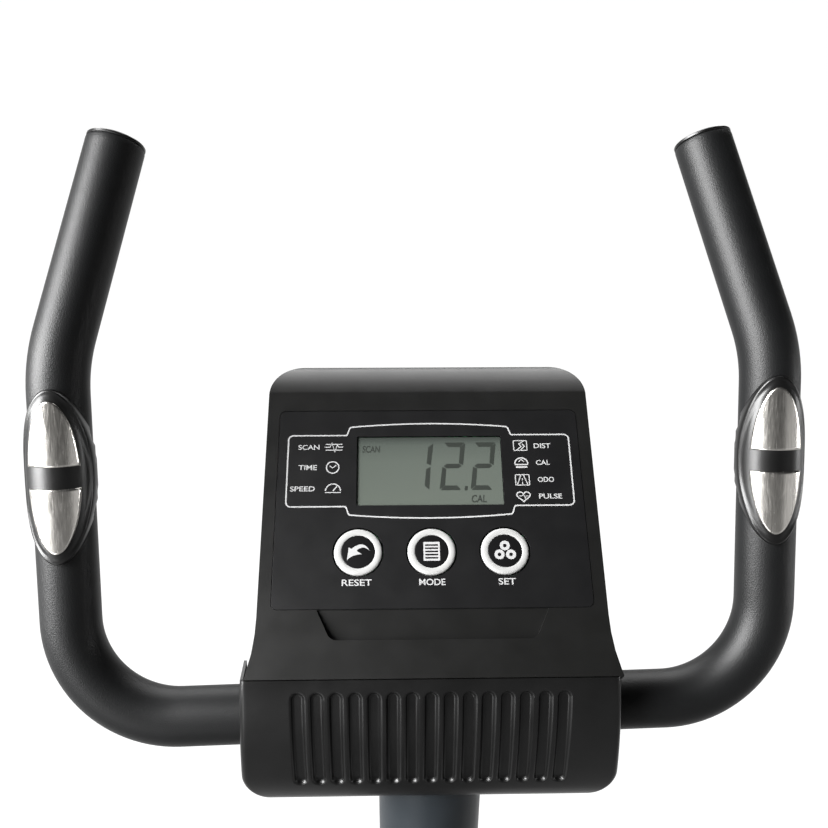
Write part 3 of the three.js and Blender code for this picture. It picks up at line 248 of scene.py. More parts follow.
POWDER = {"rough_range": 0.05, "grain": [("noise", 900, 0.25, 0.0003)]}
MOULDED = {"mottle": 0.08, "rough_range": 0.03, "grain": [("noise", 2600, 0.18, 0.0001)]}
FINE = [("noise", 2500, 0.08, 0.00005)]
FINISH = {  # colour, roughness, and what else differs from a plain surface
    "black_steel": ((0.004, 0.004, 0.0044), 0.36, {**POWDER, "specular": 0.25, "coat": 0.05, "mottle": 0.15}),
    "body_steel": ((0.0075, 0.0075, 0.0078), 0.34,
                   {**POWDER, "specular": 0.28, "coat": 0.05, "mottle": 0.15}),
    "grey_steel": ((0.0075, 0.0092, 0.0108), 0.36,
                   {**POWDER, "specular": 0.14, "mottle": 0.08, "rough_range": 0.04}),
    "bare_steel": ((0.47, 0.455, 0.43), 0.22,
                   {"metallic": 1, "mottle": 0.08, "mottle_scale": 260, "rough_range": 0.06,
                    "rough_scale": 400, "grain": [("noise", 900, 0.3, 0.0001)], "stretch": (4, 1, 0.15)}),
    "black_plastic": ((0.0009, 0.0009, 0.0009), 0.33, {**MOULDED, "specular": 0.24}),
    "body_plastic": ((0.0055, 0.0055, 0.0056), 0.36, {**MOULDED, "specular": 0.2}),
    "case_plastic": ((0.0015, 0.0015, 0.0014), 0.38,
                     {"specular": 0.18, "mottle": 0.06, "rough_range": 0.02,
                      "grain": [("noise", 2200, 0.1, 0.00008)]}),
    "panel": ((0.0013, 0.0013, 0.0014), 0.38,
              {"specular": 0.17, "mottle": 0.06, "rough_range": 0.02,
               "grain": [("noise", 3000, 0.06, 0.00006)]}),
    "foam": ((0.0017, 0.0018, 0.0019), 0.46,
             {"specular": 0.145, "mottle": 0.12, "mottle_scale": 90,
              "grain": [("cells", 1500, 0.25, 0.0003), ("noise", 500, 0.12, 0.0003)]}),
    "rubber": ((0.005, 0.005, 0.005), 0.65,
               {"specular": 0.2, "mottle": 0.2, "grain": [("noise", 1200, 0.3, 0.0002)]}),
    "white_plastic": ((0.13, 0.13, 0.128), 0.42, {"mottle": 0.015, "grain": FINE}),
    "button_black": ((0.0013, 0.0013, 0.0014), 0.34, {"specular": 0.12, "mottle": 0.08, "grain": FINE}),
    "white_ink": ((0.14, 0.14, 0.14), 0.5, {"specular": 0.1, "mottle": 0.03, "mottle_scale": 900}),
    "lcd_ink": ((0.0098, 0.0112, 0.0098), 0.3, {"specular": 0.1, "mottle": 0.05, "mottle_scale": 60}),
    "board": ((0.02, 0.1, 0.04), 0.5, {"mottle": 0.2}),
    "cast_iron": ((0.1, 0.1, 0.1), 0.5,
                  {"metallic": 0.9, "mottle": 0.2, "rough_range": 0.1,
                   "grain": [("noise", 700, 0.4, 0.0003)]}),
    "vinyl": ((0.004, 0.004, 0.0043), 0.42,
              {"specular": 0.22, "mottle": 0.12, "rough_range": 0.06, "rough_scale": 300,
               "grain": [("cells", 420, 0.35, 0.0005), ("noise", 1500, 0.15, 0.0002)]}),
}
MAT = {name: surface(name, colour, roughness, **more) for name, (colour, roughness, more) in FINISH.items()}


# ------------------------------------------------------------------ mesh helpers
def link(name, mesh, material, node):
    """Puts a finished mesh in the scene, on the body of the CAD node that it belongs to."""
    piece = bpy.data.objects.new(name, mesh)
    bpy.context.scene.collection.objects.link(piece)
    mesh.materials.clear()
    mesh.materials.append(MAT[material])
    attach(piece, BODY_OF[node])
    return piece


def clean(mesh, gap):
    """Merges points closer than `gap` and turns the faces outwards."""
    work = bmesh.new()
    work.from_mesh(mesh)
    bmesh.ops.remove_doubles(work, verts=work.verts, dist=gap)
    bmesh.ops.recalc_face_normals(work, faces=work.faces)
    work.to_mesh(mesh)
    work.free()


def mesh_of(name, points, faces, sharp=30):
    """A smooth mesh whose edges over `sharp` degrees stay hard, or none if `sharp` is 0."""
    mesh = bpy.data.meshes.new(name)
    mesh.from_pydata([tuple(p) for p in points], [], faces)
    clean(mesh, 1e-7)
    mesh.shade_smooth()
    if sharp:
        mesh.set_sharp_from_angle(angle=math.radians(sharp))
    return mesh


def grid_faces(rows, columns, wrap=False, start=0):
    """Quads over a grid of points stored row by row."""
    faces = []
    for i in range(rows - 1):
        for j in range(columns if wrap else columns - 1):
            a, b = start + i * columns + j, start + i * columns + (j + 1) % columns
            faces.append((a, b, b + columns, a + columns))
    return faces


def lathe(profile, steps, place):
    """Points and faces of a profile [(radius, height)] turned about the local Z axis."""
    points = []
    for radius, height in profile:
        for k in range(steps):
            a = 2 * math.pi * k / steps
            points.append(place @ Vector((radius * math.cos(a), radius * math.sin(a), height)))
    return points, grid_faces(len(profile), steps, wrap=True)


def arc(centre, radius, start, end, steps):
    """Points on an arc, angles in degrees."""
    out = []
    for k in range(steps + 1):
        a = math.radians(start + (end - start) * k / steps)
        out.append((centre[0] + radius * math.cos(a), centre[1] + radius * math.sin(a)))
    return out


def circle(x, y, r, steps=24):
    return arc((x, y), r, 0, 360 - 360 / steps, steps - 1)


def bezier(p0, p1, p2, p3, steps):
    """Points on a cubic curve."""
    out = []
    for k in range(steps + 1):
        t = k / steps
        weights = ((1 - t) ** 3, 3 * t * (1 - t) ** 2, 3 * t * t * (1 - t), t ** 3)
        out.append(tuple(sum(w * p[i] for w, p in zip(weights, (p0, p1, p2, p3))) for i in (0, 1)))
    return out


def rounded(corners, radii, steps=8):
    """A closed outline whose corners are rounded, by one radius or by one for each corner."""
    out = []
    count = len(corners)
    if not isinstance(radii, list):
        radii = [radii] * count
    for i, corner in enumerate(corners):
        here = Vector(corner)
        back = (Vector(corners[i - 1]) - here).normalized()
        on = (Vector(corners[(i + 1) % count]) - here).normalized()
        half = back.angle(on) / 2
        reach = radii[i] / math.tan(half)
        middle = here + (back + on).normalized() * radii[i] / math.sin(half)
        a, b = here + back * reach - middle, here + on * reach - middle
        turn = a.angle_signed(b)
        for k in range(steps + 1):
            t = -turn * k / steps
            out.append(tuple(middle + Vector((a.x * math.cos(t) - a.y * math.sin(t),
                                              a.x * math.sin(t) + a.y * math.cos(t)))))
    return out


def box_outline(low, high, half, radii, steps=8):
    """A rounded rectangle from height low to high, with a half width at either end."""
    below, above = half if isinstance(half, tuple) else (half, half)
    return rounded([(-below, low), (below, low), (above, high), (-above, high)], radii, steps)


def prism(name, outlines, low, high, place):
    """Mesh of a flat shape, with its holes, from height low to high in the local frame `place`."""
    curve = bpy.data.curves.new(name, "CURVE")
    curve.dimensions, curve.fill_mode = "2D", "BOTH"
    curve.extrude = (high - low) / 2
    for outline in outlines:
        spline = curve.splines.new("POLY")
        spline.points.add(len(outline) - 1)
        for point, (x, y) in zip(spline.points, outline):
            point.co = (x, y, 0, 1)
        spline.use_cyclic_u = True
    return from_curve(curve, place @ Matrix.Translation((0, 0, (low + high) / 2)))


def from_curve(curve, place):
    """The mesh of a curve or text, which is then deleted."""
    holder = bpy.data.objects.new(curve.name, curve)
    bpy.context.scene.collection.objects.link(holder)
    seen = holder.evaluated_get(bpy.context.evaluated_depsgraph_get())
    mesh = bpy.data.meshes.new_from_object(seen)
    bpy.data.objects.remove(holder)
    bpy.data.curves.remove(curve)
    clean(mesh, 1e-4)
    mesh.transform(place)
    return mesh


def text_mesh(body, height, at, heights, width, bold, slant=0.0):
    """Block letters on the face, centred on `at`, `height` mm tall and `width` mm wide."""
    curve = bpy.data.curves.new("text_" + body, "FONT")
    curve.body, curve.size, curve.offset, curve.extrude, curve.shear = body, 1, bold, 0.01, slant
    mesh = from_curve(curve, Matrix.Identity(4))
    co = np.array([v.co for v in mesh.vertices])
    low, high = co.min(0), co.max(0)
    middle = (low + high) / 2
    size = (width / (high[0] - low[0]), height / (high[1] - low[1]), (heights[1] - heights[0]) / 0.02, 1)
    fit = Matrix.Translation((*at, heights[0])) @ Matrix.Diagonal(size)
    fit = fit @ Matrix.Translation((-middle[0], -middle[1], -low[2]))
    mesh.transform(FACE @ fit)
    return mesh


def joined(name, meshes):
    work = bmesh.new()
    for mesh in meshes:
        work.from_mesh(mesh)
        bpy.data.meshes.remove(mesh)
    mesh = bpy.data.meshes.new(name)
    work.to_mesh(mesh)
    work.free()
    return mesh


def apply_modifiers(piece):
    seen = piece.evaluated_get(bpy.context.evaluated_depsgraph_get())
    mesh = bpy.data.meshes.new_from_object(seen)
    piece.modifiers.clear()
    old, piece.data = piece.data, mesh
    bpy.data.meshes.remove(old)


def boolean(base, tools, operation="DIFFERENCE"):
    """base mesh minus (or common with) the tool meshes, as a new mesh."""
    holder = bpy.data.objects.new("work", base)
    bpy.context.scene.collection.objects.link(holder)
    helpers = []
    for tool in tools:
        other = bpy.data.objects.new("tool", tool)
        bpy.context.scene.collection.objects.link(other)
        helpers.append(other)
        step = holder.modifiers.new("step", "BOOLEAN")
        step.operation, step.solver, step.object = operation, "EXACT", other
    apply_modifiers(holder)
    mesh = holder.data
    bpy.data.objects.remove(holder)
    for other in helpers:
        used = other.data
        bpy.data.objects.remove(other)
        bpy.data.meshes.remove(used)
    return mesh


def side_block(outline, half_width, place):
    """A solid with a (y, z) outline, extruded along local X."""
    turn = Matrix(((0, 0, 1, 0), (1, 0, 0, 0), (0, 1, 0, 0), (0, 0, 0, 1)))
    return prism("block", [outline], -half_width, half_width, place @ turn)


def bevel(piece, width, segments, angle, sharp):
    """Rounds the hard edges of a piece and keeps its flats flat."""
    step = piece.modifiers.new("edges", "BEVEL")
    step.width, step.segments, step.limit_method = width, segments, "ANGLE"
    step.angle_limit, step.miter_outer = math.radians(angle), "MITER_ARC"
    apply_modifiers(piece)
    piece.data.shade_smooth()
    piece.data.set_sharp_from_angle(angle=math.radians(sharp))
    even = piece.modifiers.new("normals", "WEIGHTED_NORMAL")
    even.keep_sharp, even.weight = True, 100
    apply_modifiers(piece)


# ------------------------------------------------------------------ CAD parts kept as they are
def smoothing_group():
    """Geometry nodes: smooth shading, with edges over 35 degrees kept hard."""
    group = bpy.data.node_groups.new("smooth_by_angle", "GeometryNodeTree")
    group.interface.new_socket("Geometry", in_out="INPUT", socket_type="NodeSocketGeometry")
    group.interface.new_socket("Geometry", in_out="OUTPUT", socket_type="NodeSocketGeometry")
    add = group.nodes.new
    start, end = add("NodeGroupInput"), add("NodeGroupOutput")
    soft, hard = add("GeometryNodeSetShadeSmooth"), add("GeometryNodeSetShadeSmooth")
    plain = add("GeometryNodeRemoveAttribute")
    plain.inputs["Name"].default_value = "custom_normal"
    hard.domain = "EDGE"
    hard.inputs["Shade Smooth"].default_value = False
    angle, over = add("GeometryNodeInputMeshEdgeAngle"), add("FunctionNodeCompare")
    over.data_type, over.operation = "FLOAT", "GREATER_THAN"
    over.inputs["B"].default_value = math.radians(35)
    wire = group.links.new
    wire(start.outputs[0], plain.inputs["Geometry"])
    wire(plain.outputs["Geometry"], soft.inputs["Geometry"])
    wire(soft.outputs[0], hard.inputs["Geometry"])
    wire(angle.outputs["Unsigned Angle"], over.inputs["A"])
    wire(over.outputs["Result"], hard.inputs["Selection"])
    wire(hard.outputs[0], end.inputs[0])
    return group


def pair(stem):
    return [stem + "_right", stem + "_left"]


CAD_FINISH = {
    "black_steel": ["handlebar"],
    "body_steel": ["main_frame", "rear_stabiliser", "front_stabiliser", "saddle_rail"] + pair("crank"),
    "grey_steel": ["handlebar_post"],
    "bare_steel": ["crank_axle", "flywheel_axle", "magnet_carrier", "seat_post", "bar_clamp_cap",
                   "console_bracket"],
    "black_plastic": ["clamp_cover_rear", "console_back_case", "battery_door", "clamp_knob"],
    "body_plastic": ["seat_tube_bush", "drive_pulley", "tension_knob", "seat_height_knob",
                     "saddle_slide_knob", "saddle_base"] + pair("rear_cap") + pair("front_cap")
                    + pair("casing") + pair("pedal"),
    "rubber": ["drive_belt"] + pair("transport_wheel") + pair("pedal_strap"),
    "board": ["circuit_board"],
    "cast_iron": ["flywheel"],
}
BEVEL_WIDTH = {  # in mm, where it isn't the plain 0.6
    2.0: pair("casing"),
    1.6: ["console_back_case"] + pair("crank"),
    1.5: ["saddle_base"],
    1.2: ["tension_knob", "clamp_knob", "seat_height_knob"] + pair("pedal"),
    1.0: ["saddle_slide_knob", "main_frame"],
    0.8: ["clamp_cover_rear"],
    0.4: pair("pedal_strap"),
}
PLAIN_BEVEL = 0.6


def dress_cad():
    """Materials, fine bevels and smooth shading for the CAD nodes that stay visible."""
    smoothing = smoothing_group()
    widths = {name: width for width, names in BEVEL_WIDTH.items() for name in names}
    for material, names in CAD_FINISH.items():
        for name in names:
            piece = frame["nodes"][name]
            if not piece.data.materials:
                piece.data.materials.append(MAT[material])
            for seat in piece.material_slots:
                seat.material = MAT[material]
            weld = piece.modifiers.new("weld", "WELD")
            weld.merge_threshold = 1e-5
            edges = piece.modifiers.new("edges", "BEVEL")
            edges.width = widths.get(name, PLAIN_BEVEL) * MM
            edges.segments, edges.limit_method, edges.angle_limit = 2, "ANGLE", math.radians(38)
            shade = piece.modifiers.new("shade", "NODES")
            shade.node_group = smoothing


# ------------------------------------------------------------------ computer
FACE_TILT = math.radians(39.5)
SEAM = (-19.3, 36.2)  # y, z of the face's lower edge from the bar's axis
FACE_HALF_WIDTH, FACE_FLARE, FACE_LENGTH, FACE_FLAT = 98, 103, 199, 173.5
FLARE_STEPS = [(1.7, 14), (0.4, 24), (0, 34)]  # how far the sides stand out, by height up the face
CASE_SPLIT, CASE_WALL, TOP_CORNER = 14, 2.5, 26
ROLL_SLANT = 0.34  # 0 rolls the top edge over in a round, 1 in a straight slope
PANEL = {"half": 90.7, "low": 38, "high": 161.7}
PANEL_GAP, FILM_TOP, FILM_BOTTOM = 0.35, -0.12, -0.75
SCREEN = {"half": 43.5, "low": 99.8, "high": 144.2}
BUTTON_V, BUTTON_PITCH, BUTTON_R = 71.3, 42.1, 14.2
LEDGE = {"low": 21, "half_low": 57, "half_high": 65}
LEDGE_DEPTH_LOW, LEDGE_DEPTH_HIGH = -5.4, -1.2

BAR_YAW, BAR_SHIFT = math.radians(2.17), -3.8  # the bar's turn and offset in its clamp
HEAD = Matrix.Translation(BAR_AXIS) @ Matrix.Scale(MM, 4)
FACE = HEAD @ Matrix.Translation((0, *SEAM)) @ Matrix.Rotation(FACE_TILT, 4, "X")


def face_plan(inset):
    """Outline of the face, seen square on."""
    w, flare, r, top = FACE_HALF_WIDTH - inset, FACE_FLARE - inset, TOP_CORNER - inset, FACE_LENGTH - inset
    plan = [(-flare, inset), (flare, inset)]
    plan += [(w + out, v) for out, v in FLARE_STEPS]
    plan += arc((w - r, top - r), r, 0, 90, 20)
    plan += arc((-w + r, top - r), r, 90, 180, 20)
    plan += [(-w - out, v) for out, v in reversed(FLARE_STEPS)]
    return plan


def front_profile(inset):
    """(v, n): a flat face that rolls over at the top."""
    under = -CASE_SPLIT - (10 if inset else 0)
    profile = [(-10, under), (-10, -inset)]
    roll = FACE_LENGTH - FACE_FLAT - inset
    for k in range(25):
        t = math.sin(math.radians(90 * k / 24))
        fall = ROLL_SLANT * t + (1 - ROLL_SLANT) * (1 - math.sqrt(1 - t * t))
        profile.append((FACE_FLAT + roll * t, -inset - (CASE_SPLIT - inset) * fall))
    if inset:
        profile.append((FACE_LENGTH - inset, under))
    return profile


def plate(low, high, half, radius, bottom, top, steps=8):
    return prism("plate", [box_outline(low, high, half, radius, steps)], bottom, top, FACE)


def button_hole(i, clearance, steps):
    """Outline of the hole for button i, which is -1, 0 or 1 from left to right."""
    return circle(i * BUTTON_PITCH, BUTTON_V, BUTTON_R + clearance, steps)


def case_block(inset):
    body = side_block(front_profile(inset), 110, FACE)
    return boolean(body, [prism("plan", [face_plan(inset)], -60, 20, FACE)], "INTERSECT")


def console_front():
    """The front case: a shell with a ledge, a recess for the panel, a window and the buttons' holes."""
    mesh = boolean(case_block(0), [case_block(CASE_WALL)])
    panel_low, ledge_low = PANEL["low"], LEDGE["low"]
    backing = plate(ledge_low - 2, panel_low + 2, LEDGE["half_high"] + 2, 1, -6.5, -1.2)
    mesh = boolean(mesh, [backing], "UNION")
    ledge = box_outline(ledge_low, panel_low + 0.1, (LEDGE["half_low"], LEDGE["half_high"]), [6, 6, 0.5, 0.5])
    low, high = ledge_low - 1, panel_low + 1
    sloped = side_block([(low, LEDGE_DEPTH_LOW), (high, LEDGE_DEPTH_HIGH), (high, 8), (low, 8)], 90, FACE)
    tools = [
        plate(panel_low, PANEL["high"], PANEL["half"], 4, -1, 10),
        plate(SCREEN["low"] - 1, SCREEN["high"] + 1, SCREEN["half"] + 1, 1, -10, 10),
        boolean(prism("ledge", [ledge], -20, 10, FACE), [sloped], "INTERSECT"),
    ]
    tools += [prism("hole", [button_hole(i, 0.6, 48)], -10, 10, FACE) for i in (-1, 0, 1)]
    piece = link("console_front_shell", boolean(mesh, tools), "case_plastic", node="console_front_case")
    bevel(piece, 0.7 * MM, 3, 28, 35)
    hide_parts("console_front_case")


def console_panel():
    """The printed film, with its window and the buttons' holes."""
    outlines = [
        box_outline(PANEL["low"] + PANEL_GAP, PANEL["high"] - PANEL_GAP, PANEL["half"] - PANEL_GAP, 3.6),
        box_outline(SCREEN["low"], SCREEN["high"], SCREEN["half"], 0.8, 4),
    ]
    outlines += [button_hole(i, 0.5, 60) for i in (-1, 0, 1)]
    piece = link("panel_film", prism("panel_film", outlines, FILM_BOTTOM, FILM_TOP, FACE), "panel",
                 node="panel_overlay")
    bevel(piece, 0.22 * MM, 2, 60, 40)
    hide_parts("panel_overlay")


# ------------------------------------------------------------------ printing on the panel
PRINT = (FILM_TOP, -0.06)  # heights of the ink's two sides
ICON_LEFT, ICON_RIGHT, ICON_LINE = -57.3, 55.0, 0.55


def stroke(points, width, closed=False):
    """A printed line: a flat ribbon along the points."""
    pts = [Vector(p) for p in points]
    count = len(pts)
    left, right = [], []
    for i, p in enumerate(pts):
        before = pts[i - 1] if (closed or i) else p
        after = pts[(i + 1) % count] if (closed or i < count - 1) else p
        a = (p - before).normalized() if (p - before).length > 1e-9 else (after - p).normalized()
        b = (after - p).normalized() if (after - p).length > 1e-9 else a
        side = Vector((-(a.y + b.y), a.x + b.x))
        side.normalize()
        scale = 1 / max(side.dot(Vector((-a.y, a.x))), 0.5)
        left.append(p + side * width / 2 * scale)
        right.append(p - side * width / 2 * scale)
    points3 = [Vector((*p, h)) for h in PRINT for p in left + right]
    n = 2 * count
    faces = []
    for i in range(count if closed else count - 1):
        j = (i + 1) % count
        faces.append((i, j, count + j, count + i))
        faces.append((n + i, n + count + i, n + count + j, n + j))
        faces.append((i, n + i, n + j, j))
        faces.append((count + i, count + j, n + count + j, n + count + i))
    if not closed:
        for i in (0, count - 1):
            faces.append((i, count + i, n + count + i, n + i))
    mesh = bpy.data.meshes.new("stroke")
    mesh.from_pydata([tuple(p) for p in points3], [], faces)
    mesh.transform(FACE)
    return mesh


FRAME_HALF, FRAME_TOP, FRAME_BOTTOM = 84.7, 144.9, 99.1  # the label boxes at the screen's sides
BULGE_HALF, BULGE_TOP, BULGE_BOTTOM = 47, 152.6, 91.7  # the bulged part over and under the screen
BULGE_TOP_END, BULGE_BOTTOM_END = 150.4, 93.8


def frame_outline():
    """The white line round the screen and its side labels, drawn for the right half and mirrored."""
    across = [k / 8 for k in range(9)]
    half = [(BULGE_HALF * t, BULGE_TOP - (BULGE_TOP - BULGE_TOP_END) * t ** 2) for t in across]
    half += [(47.7, 150), (48.2, 149.2), (49.4, 145.6), (50, FRAME_TOP)]
    half += arc((FRAME_HALF - 3, FRAME_TOP - 3), 3, 90, 0, 6)
    half += arc((FRAME_HALF - 3, FRAME_BOTTOM + 3), 3, 0, -90, 6)
    half += [(50, FRAME_BOTTOM), (49.4, 98.4), (48.2, 94.9), (47.7, 94.1)]
    rise = BULGE_BOTTOM_END - BULGE_BOTTOM
    half += [(BULGE_HALF * t, BULGE_BOTTOM + rise * t ** 2) for t in reversed(across)]
    return half + [(-x, y) for x, y in reversed(half[1:-1])]


def scaled(points, at, size):
    return [(at[0] + x * size, at[1] + y * size) for x, y in points]


def heart_outline():
    """A heart about 8 mm wide."""
    points = []
    for k in range(25):
        a = 2 * math.pi * k / 25
        x = 16 * math.sin(a) ** 3
        y = 13 * math.cos(a) - 5 * math.cos(2 * a) - 2 * math.cos(3 * a) - math.cos(4 * a)
        points.append((x * 0.25, 0.3 + y * 0.22))
    return points


def label_icons():
    """Small generic pictures beside the function words."""
    def icon(x, y, *lines):
        """lines holds (points about the middle, width), with True after them for a closed line."""
        return [stroke(scaled(points, (x, y), 1), width, *closed) for points, width, *closed in lines]

    thin = ICON_LINE
    scan = [([(-5, 1.9), (5, 1.9)], thin), ([(-5, -1.9), (5, -1.9)], thin),
            ([(-5.5, 0), (-2.4, 0), (-1.2, 2.6), (0.6, -3), (2, 1.6), (2.8, 0), (5.5, 0)], thin)]
    clock = [(circle(-0.5, 0, 3.7), 0.7, True), ([(-2.3, 1), (-0.5, -0.3), (1.6, 1.4)], thin)]
    dial = [(arc((0, -1.6), 4.4, 0, 180, 14), 0.7), ([(0, -1.6), (2.3, 1.3)], 0.7),
            ([(-4.7, -2.6), (4.7, -2.6)], thin)]
    winding_route = [(box_outline(-3, 3.4, 4, 0.5, 2), thin, True),
                     ([(-2.6, -3), (0.6, -0.4), (-0.8, 1.2), (2, 3)], thin),
                     ([(-0.2, -3), (2.6, -0.2), (1.2, 1.2)], thin)]
    covered_bowl = [(arc((0, -0.6), 3.9, 0, 180, 12), 0.8), ([(-4, -1.1), (4, -1.1)], 0.8),
                    ([(-3.4, -2.7), (3.4, -2.7)], 1.1), ([(-1.6, 0.8), (0, 2.2), (1.6, 0.8)], thin)]
    road = [(box_outline(-3.3, 3.3, 4.1, 0.3, 2), thin, True), ([(-3.2, -3.3), (-0.7, 3.3)], thin),
            ([(3.2, -3.3), (0.7, 3.3)], thin), ([(0, -2.8), (0, -1.2)], thin), ([(0, -0.2), (0, 1)], thin)]
    heart = [(heart_outline(), 0.7, True),
             ([(-2.6, 0.4), (-0.8, 0.4), (0, 1.8), (0.9, -1.2), (1.5, 0.4), (2.6, 0.4)], 0.45)]
    meshes = icon(ICON_LEFT, 137.2, *scan) + icon(ICON_LEFT, 124, *clock) + icon(ICON_LEFT, 110.6, *dial)
    meshes += icon(ICON_RIGHT, 137.4, *winding_route) + icon(ICON_RIGHT, 126.2, *covered_bowl)
    return meshes + icon(ICON_RIGHT, 115.2, *road) + icon(ICON_RIGHT, 104.6, *heart)


LABEL_HEIGHT, BUTTON_LABEL_HEIGHT, LABEL_BOLD = 3.2, 3.75, 0.012
LABELS = [  # word, x and v of its middle, width
    ("SCAN", -72.3, 137.2, 12.6), ("TIME", -72.6, 124, 11), ("SPEED", -75.3, 110.4, 14.6),
    ("DIST", 68.3, 137.4, 10.2), ("CAL", 68.0, 126.4, 8.4), ("ODO", 69.0, 115.4, 9.6),
    ("PULSE", 71.0, 104.8, 13.6),
]
BUTTON_LABELS = [("RESET", -42.6, 53.4, 17), ("MODE", 0, 53.4, 14.8), ("SET", 42.4, 53.4, 9.8)]


def console_print():
    """The white printing: the line round the screen, the pictures and the words."""
    meshes = [stroke(frame_outline(), 0.85, True)] + label_icons()
    for labels, height in ((LABELS, LABEL_HEIGHT), (BUTTON_LABELS, BUTTON_LABEL_HEIGHT)):
        meshes += [text_mesh(word, height, (x, v), PRINT, width, LABEL_BOLD) for word, x, v, width in labels]
    piece = link("panel_print", joined("panel_print", meshes), "white_ink", node="panel_overlay")
    piece.data.shade_flat()


# ------------------------------------------------------------------ screen
LCD_FACE = -1.25
SEGMENT_INK = (LCD_FACE + 0.005, LCD_FACE + 0.03)
DIGIT_WIDTH, DIGIT_HEIGHT, DIGIT_LINE, DIGIT_SLANT, DIGIT_V, SEGMENT_GAP = 13.2, 31, 3.0, 0.105, 109.4, 0.35
LCD_BASE = (0.028, 0.032, 0.027)
LCD_PAINTED_SHADOW = [(0, (0.031, 0.0355, 0.0305)), (0.6, (0.029, 0.0335, 0.029)), (0.84, (0.024, 0.028, 0.0245)),
              (0.93, (0.0155, 0.018, 0.016)), (1, (0.007, 0.0078, 0.0072))]  # from its lower edge up; the darkening towards the top is a painted shadow cast by the frame's upper edge


def digit(segments, x):
    """Meshes of the lit segments of a digit whose lower left corner is at x."""
    w, h, t, gap = DIGIT_WIDTH, DIGIT_HEIGHT, DIGIT_LINE, SEGMENT_GAP
    mid = h / 2
    bars = {
        "a": [(gap, h), (w - gap, h), (w - t, h - t), (t, h - t)],
        "g": [(gap + 0.8, mid), (t, mid + t / 2), (w - t, mid + t / 2), (w - gap - 0.8, mid),
              (w - t, mid - t / 2), (t, mid - t / 2)],
        "d": [(gap, 0), (t, t), (w - t, t), (w - gap, 0)],
        "f": [(0, h - gap), (t, h - t), (t, mid + t / 2 + gap), (0.4, mid + gap)],
        "e": [(0, gap), (0.4, mid - gap), (t, mid - t / 2 - gap), (t, t)],
        "b": [(w, h - gap), (w - 0.4, mid + gap), (w - t, mid + t / 2 + gap), (w - t, h - t)],
        "c": [(w, gap), (w - t, t), (w - t, mid - t / 2 - gap), (w - 0.4, mid - gap)],
    }
    meshes = []
    for segment in segments:
        outline = rounded([(x + px + DIGIT_SLANT * py, DIGIT_V + py) for px, py in bars[segment]], 0.35, 3)
        meshes.append(prism("segment", [outline], *SEGMENT_INK, FACE))
    return meshes


def face_height(v):
    """Height above the floor of a point v mm up the face."""
    return (FACE @ Vector((0, v, 0))).z


def lcd_material():
    """Grey-green glass, with a painted shadow that darkens it under the upper edge of its frame."""
    mat = surface("lcd_pane", LCD_BASE, 0.25, specular=0.1)
    tree = mat.node_tree
    span = (face_height(SCREEN["low"]), face_height(SCREEN["high"]))
    upwards = map_range(tree, coordinates(tree, "Object")["Z"], span, (0, 1))
    # the colour ramp paints the frame's shadow onto the pane, darker towards its upper edge
    tree.links.new(colour_ramp(tree, upwards, LCD_PAINTED_SHADOW), tree.nodes["Principled BSDF"].inputs["Base Color"])
    return mat


def console_screen():
    """The pane of the display and the dark segments on it."""
    MAT["lcd"] = lcd_material()
    pane = plate(SCREEN["low"] + 0.3, SCREEN["high"] - 0.3, SCREEN["half"] - 0.3, 0.6, -4.8, LCD_FACE, 4)
    piece = link("lcd_pane", pane, "lcd", node="lcd_screen")
    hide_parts("lcd_screen")
    meshes = digit("bc", -13.7) + digit("abged", 5.6) + digit("abged", 24.0)
    point = rounded([(20.4, 109.2), (22.2, 109.2), (22.5, 112), (20.7, 112)], 0.3, 2)
    meshes.append(prism("point", [point], *SEGMENT_INK, FACE))
    meshes.append(text_mesh("SCAN", 4.6, (-34.9, 136.2), SEGMENT_INK, 10.6, 0.02, 0.1))
    meshes.append(text_mesh("CAL", 4.8, (28.8, 103.9), SEGMENT_INK, 8.8, 0.02, 0.1))
    ink = link("lcd_segments", joined("lcd_segments", meshes), "lcd_ink", node="lcd_screen")
    ink.data.shade_flat()


# ------------------------------------------------------------------ buttons
MARK = (0.4, 0.48)  # heights of the white mark's two sides
MARK_COLUMNS = [(0, 3.1), (-3.3, -2.2), (3.3, -2.2)]
RING_PROFILE = [(8.9, -4.8), (BUTTON_R - 0.4, -4.8), (BUTTON_R - 0.4, -0.6), (BUTTON_R - 0.5, -0.1),
                (BUTTON_R - 0.8, 0.25), (BUTTON_R - 1.4, 0.5), (12, 0.62), (10.8, 0.6), (10.1, 0.52),
                (9.85, 0.42), (9.8, 0.1)]
DISC_PROFILE = [(0.01, -1), (9.72, -1), (9.72, 0.3), (9.5, 0.38), (9.2, 0.4), (0.01, 0.4)]


def arrow_outline():
    """An arrow that bends back to the left."""
    arrow = [(-6.8, -5.4), (-5.8, 2.9), (-4.0, 1.9)]
    arrow += bezier((-4.0, 1.9), (-1.0, 5.2), (4.5, 6.8), (7.1, 0.6), 12)[1:]
    arrow += bezier((7.1, 0.6), (4.4, 4.0), (0.6, 3.0), (-0.9, 0.6), 10)[1:]
    arrow += [(2.4, -1.5)]
    arrow += bezier((2.4, -1.5), (-1.5, -1.7), (-4.6, -2.6), (-6.8, -5.4), 8)[1:-1]
    return arrow


def button_mark(kind, at):
    """Meshes of the mark in a button's middle: an arrow, a list or three rings."""
    if kind == "reset":
        return [prism("arrow", [scaled(arrow_outline(), at, 0.92)], *MARK, FACE)]
    if kind == "mode":
        outlines = [box_outline(-5.6, 5.6, 4.7, 0.3, 2)]
        outlines += [box_outline(v - 0.5, v + 0.5, 3.7, 0.1, 1) for v in (-3.9, -2.0, -0.1, 1.8, 3.7)]
        return [prism("list", [scaled(outline, at, 1) for outline in outlines], *MARK, FACE)]
    rings = [(circle(at[0] + x, at[1] + y, 2.9, 20), circle(at[0] + x, at[1] + y, 1.1, 12))
             for x, y in MARK_COLUMNS]
    return [prism("ring", ring, *MARK, FACE) for ring in rings]


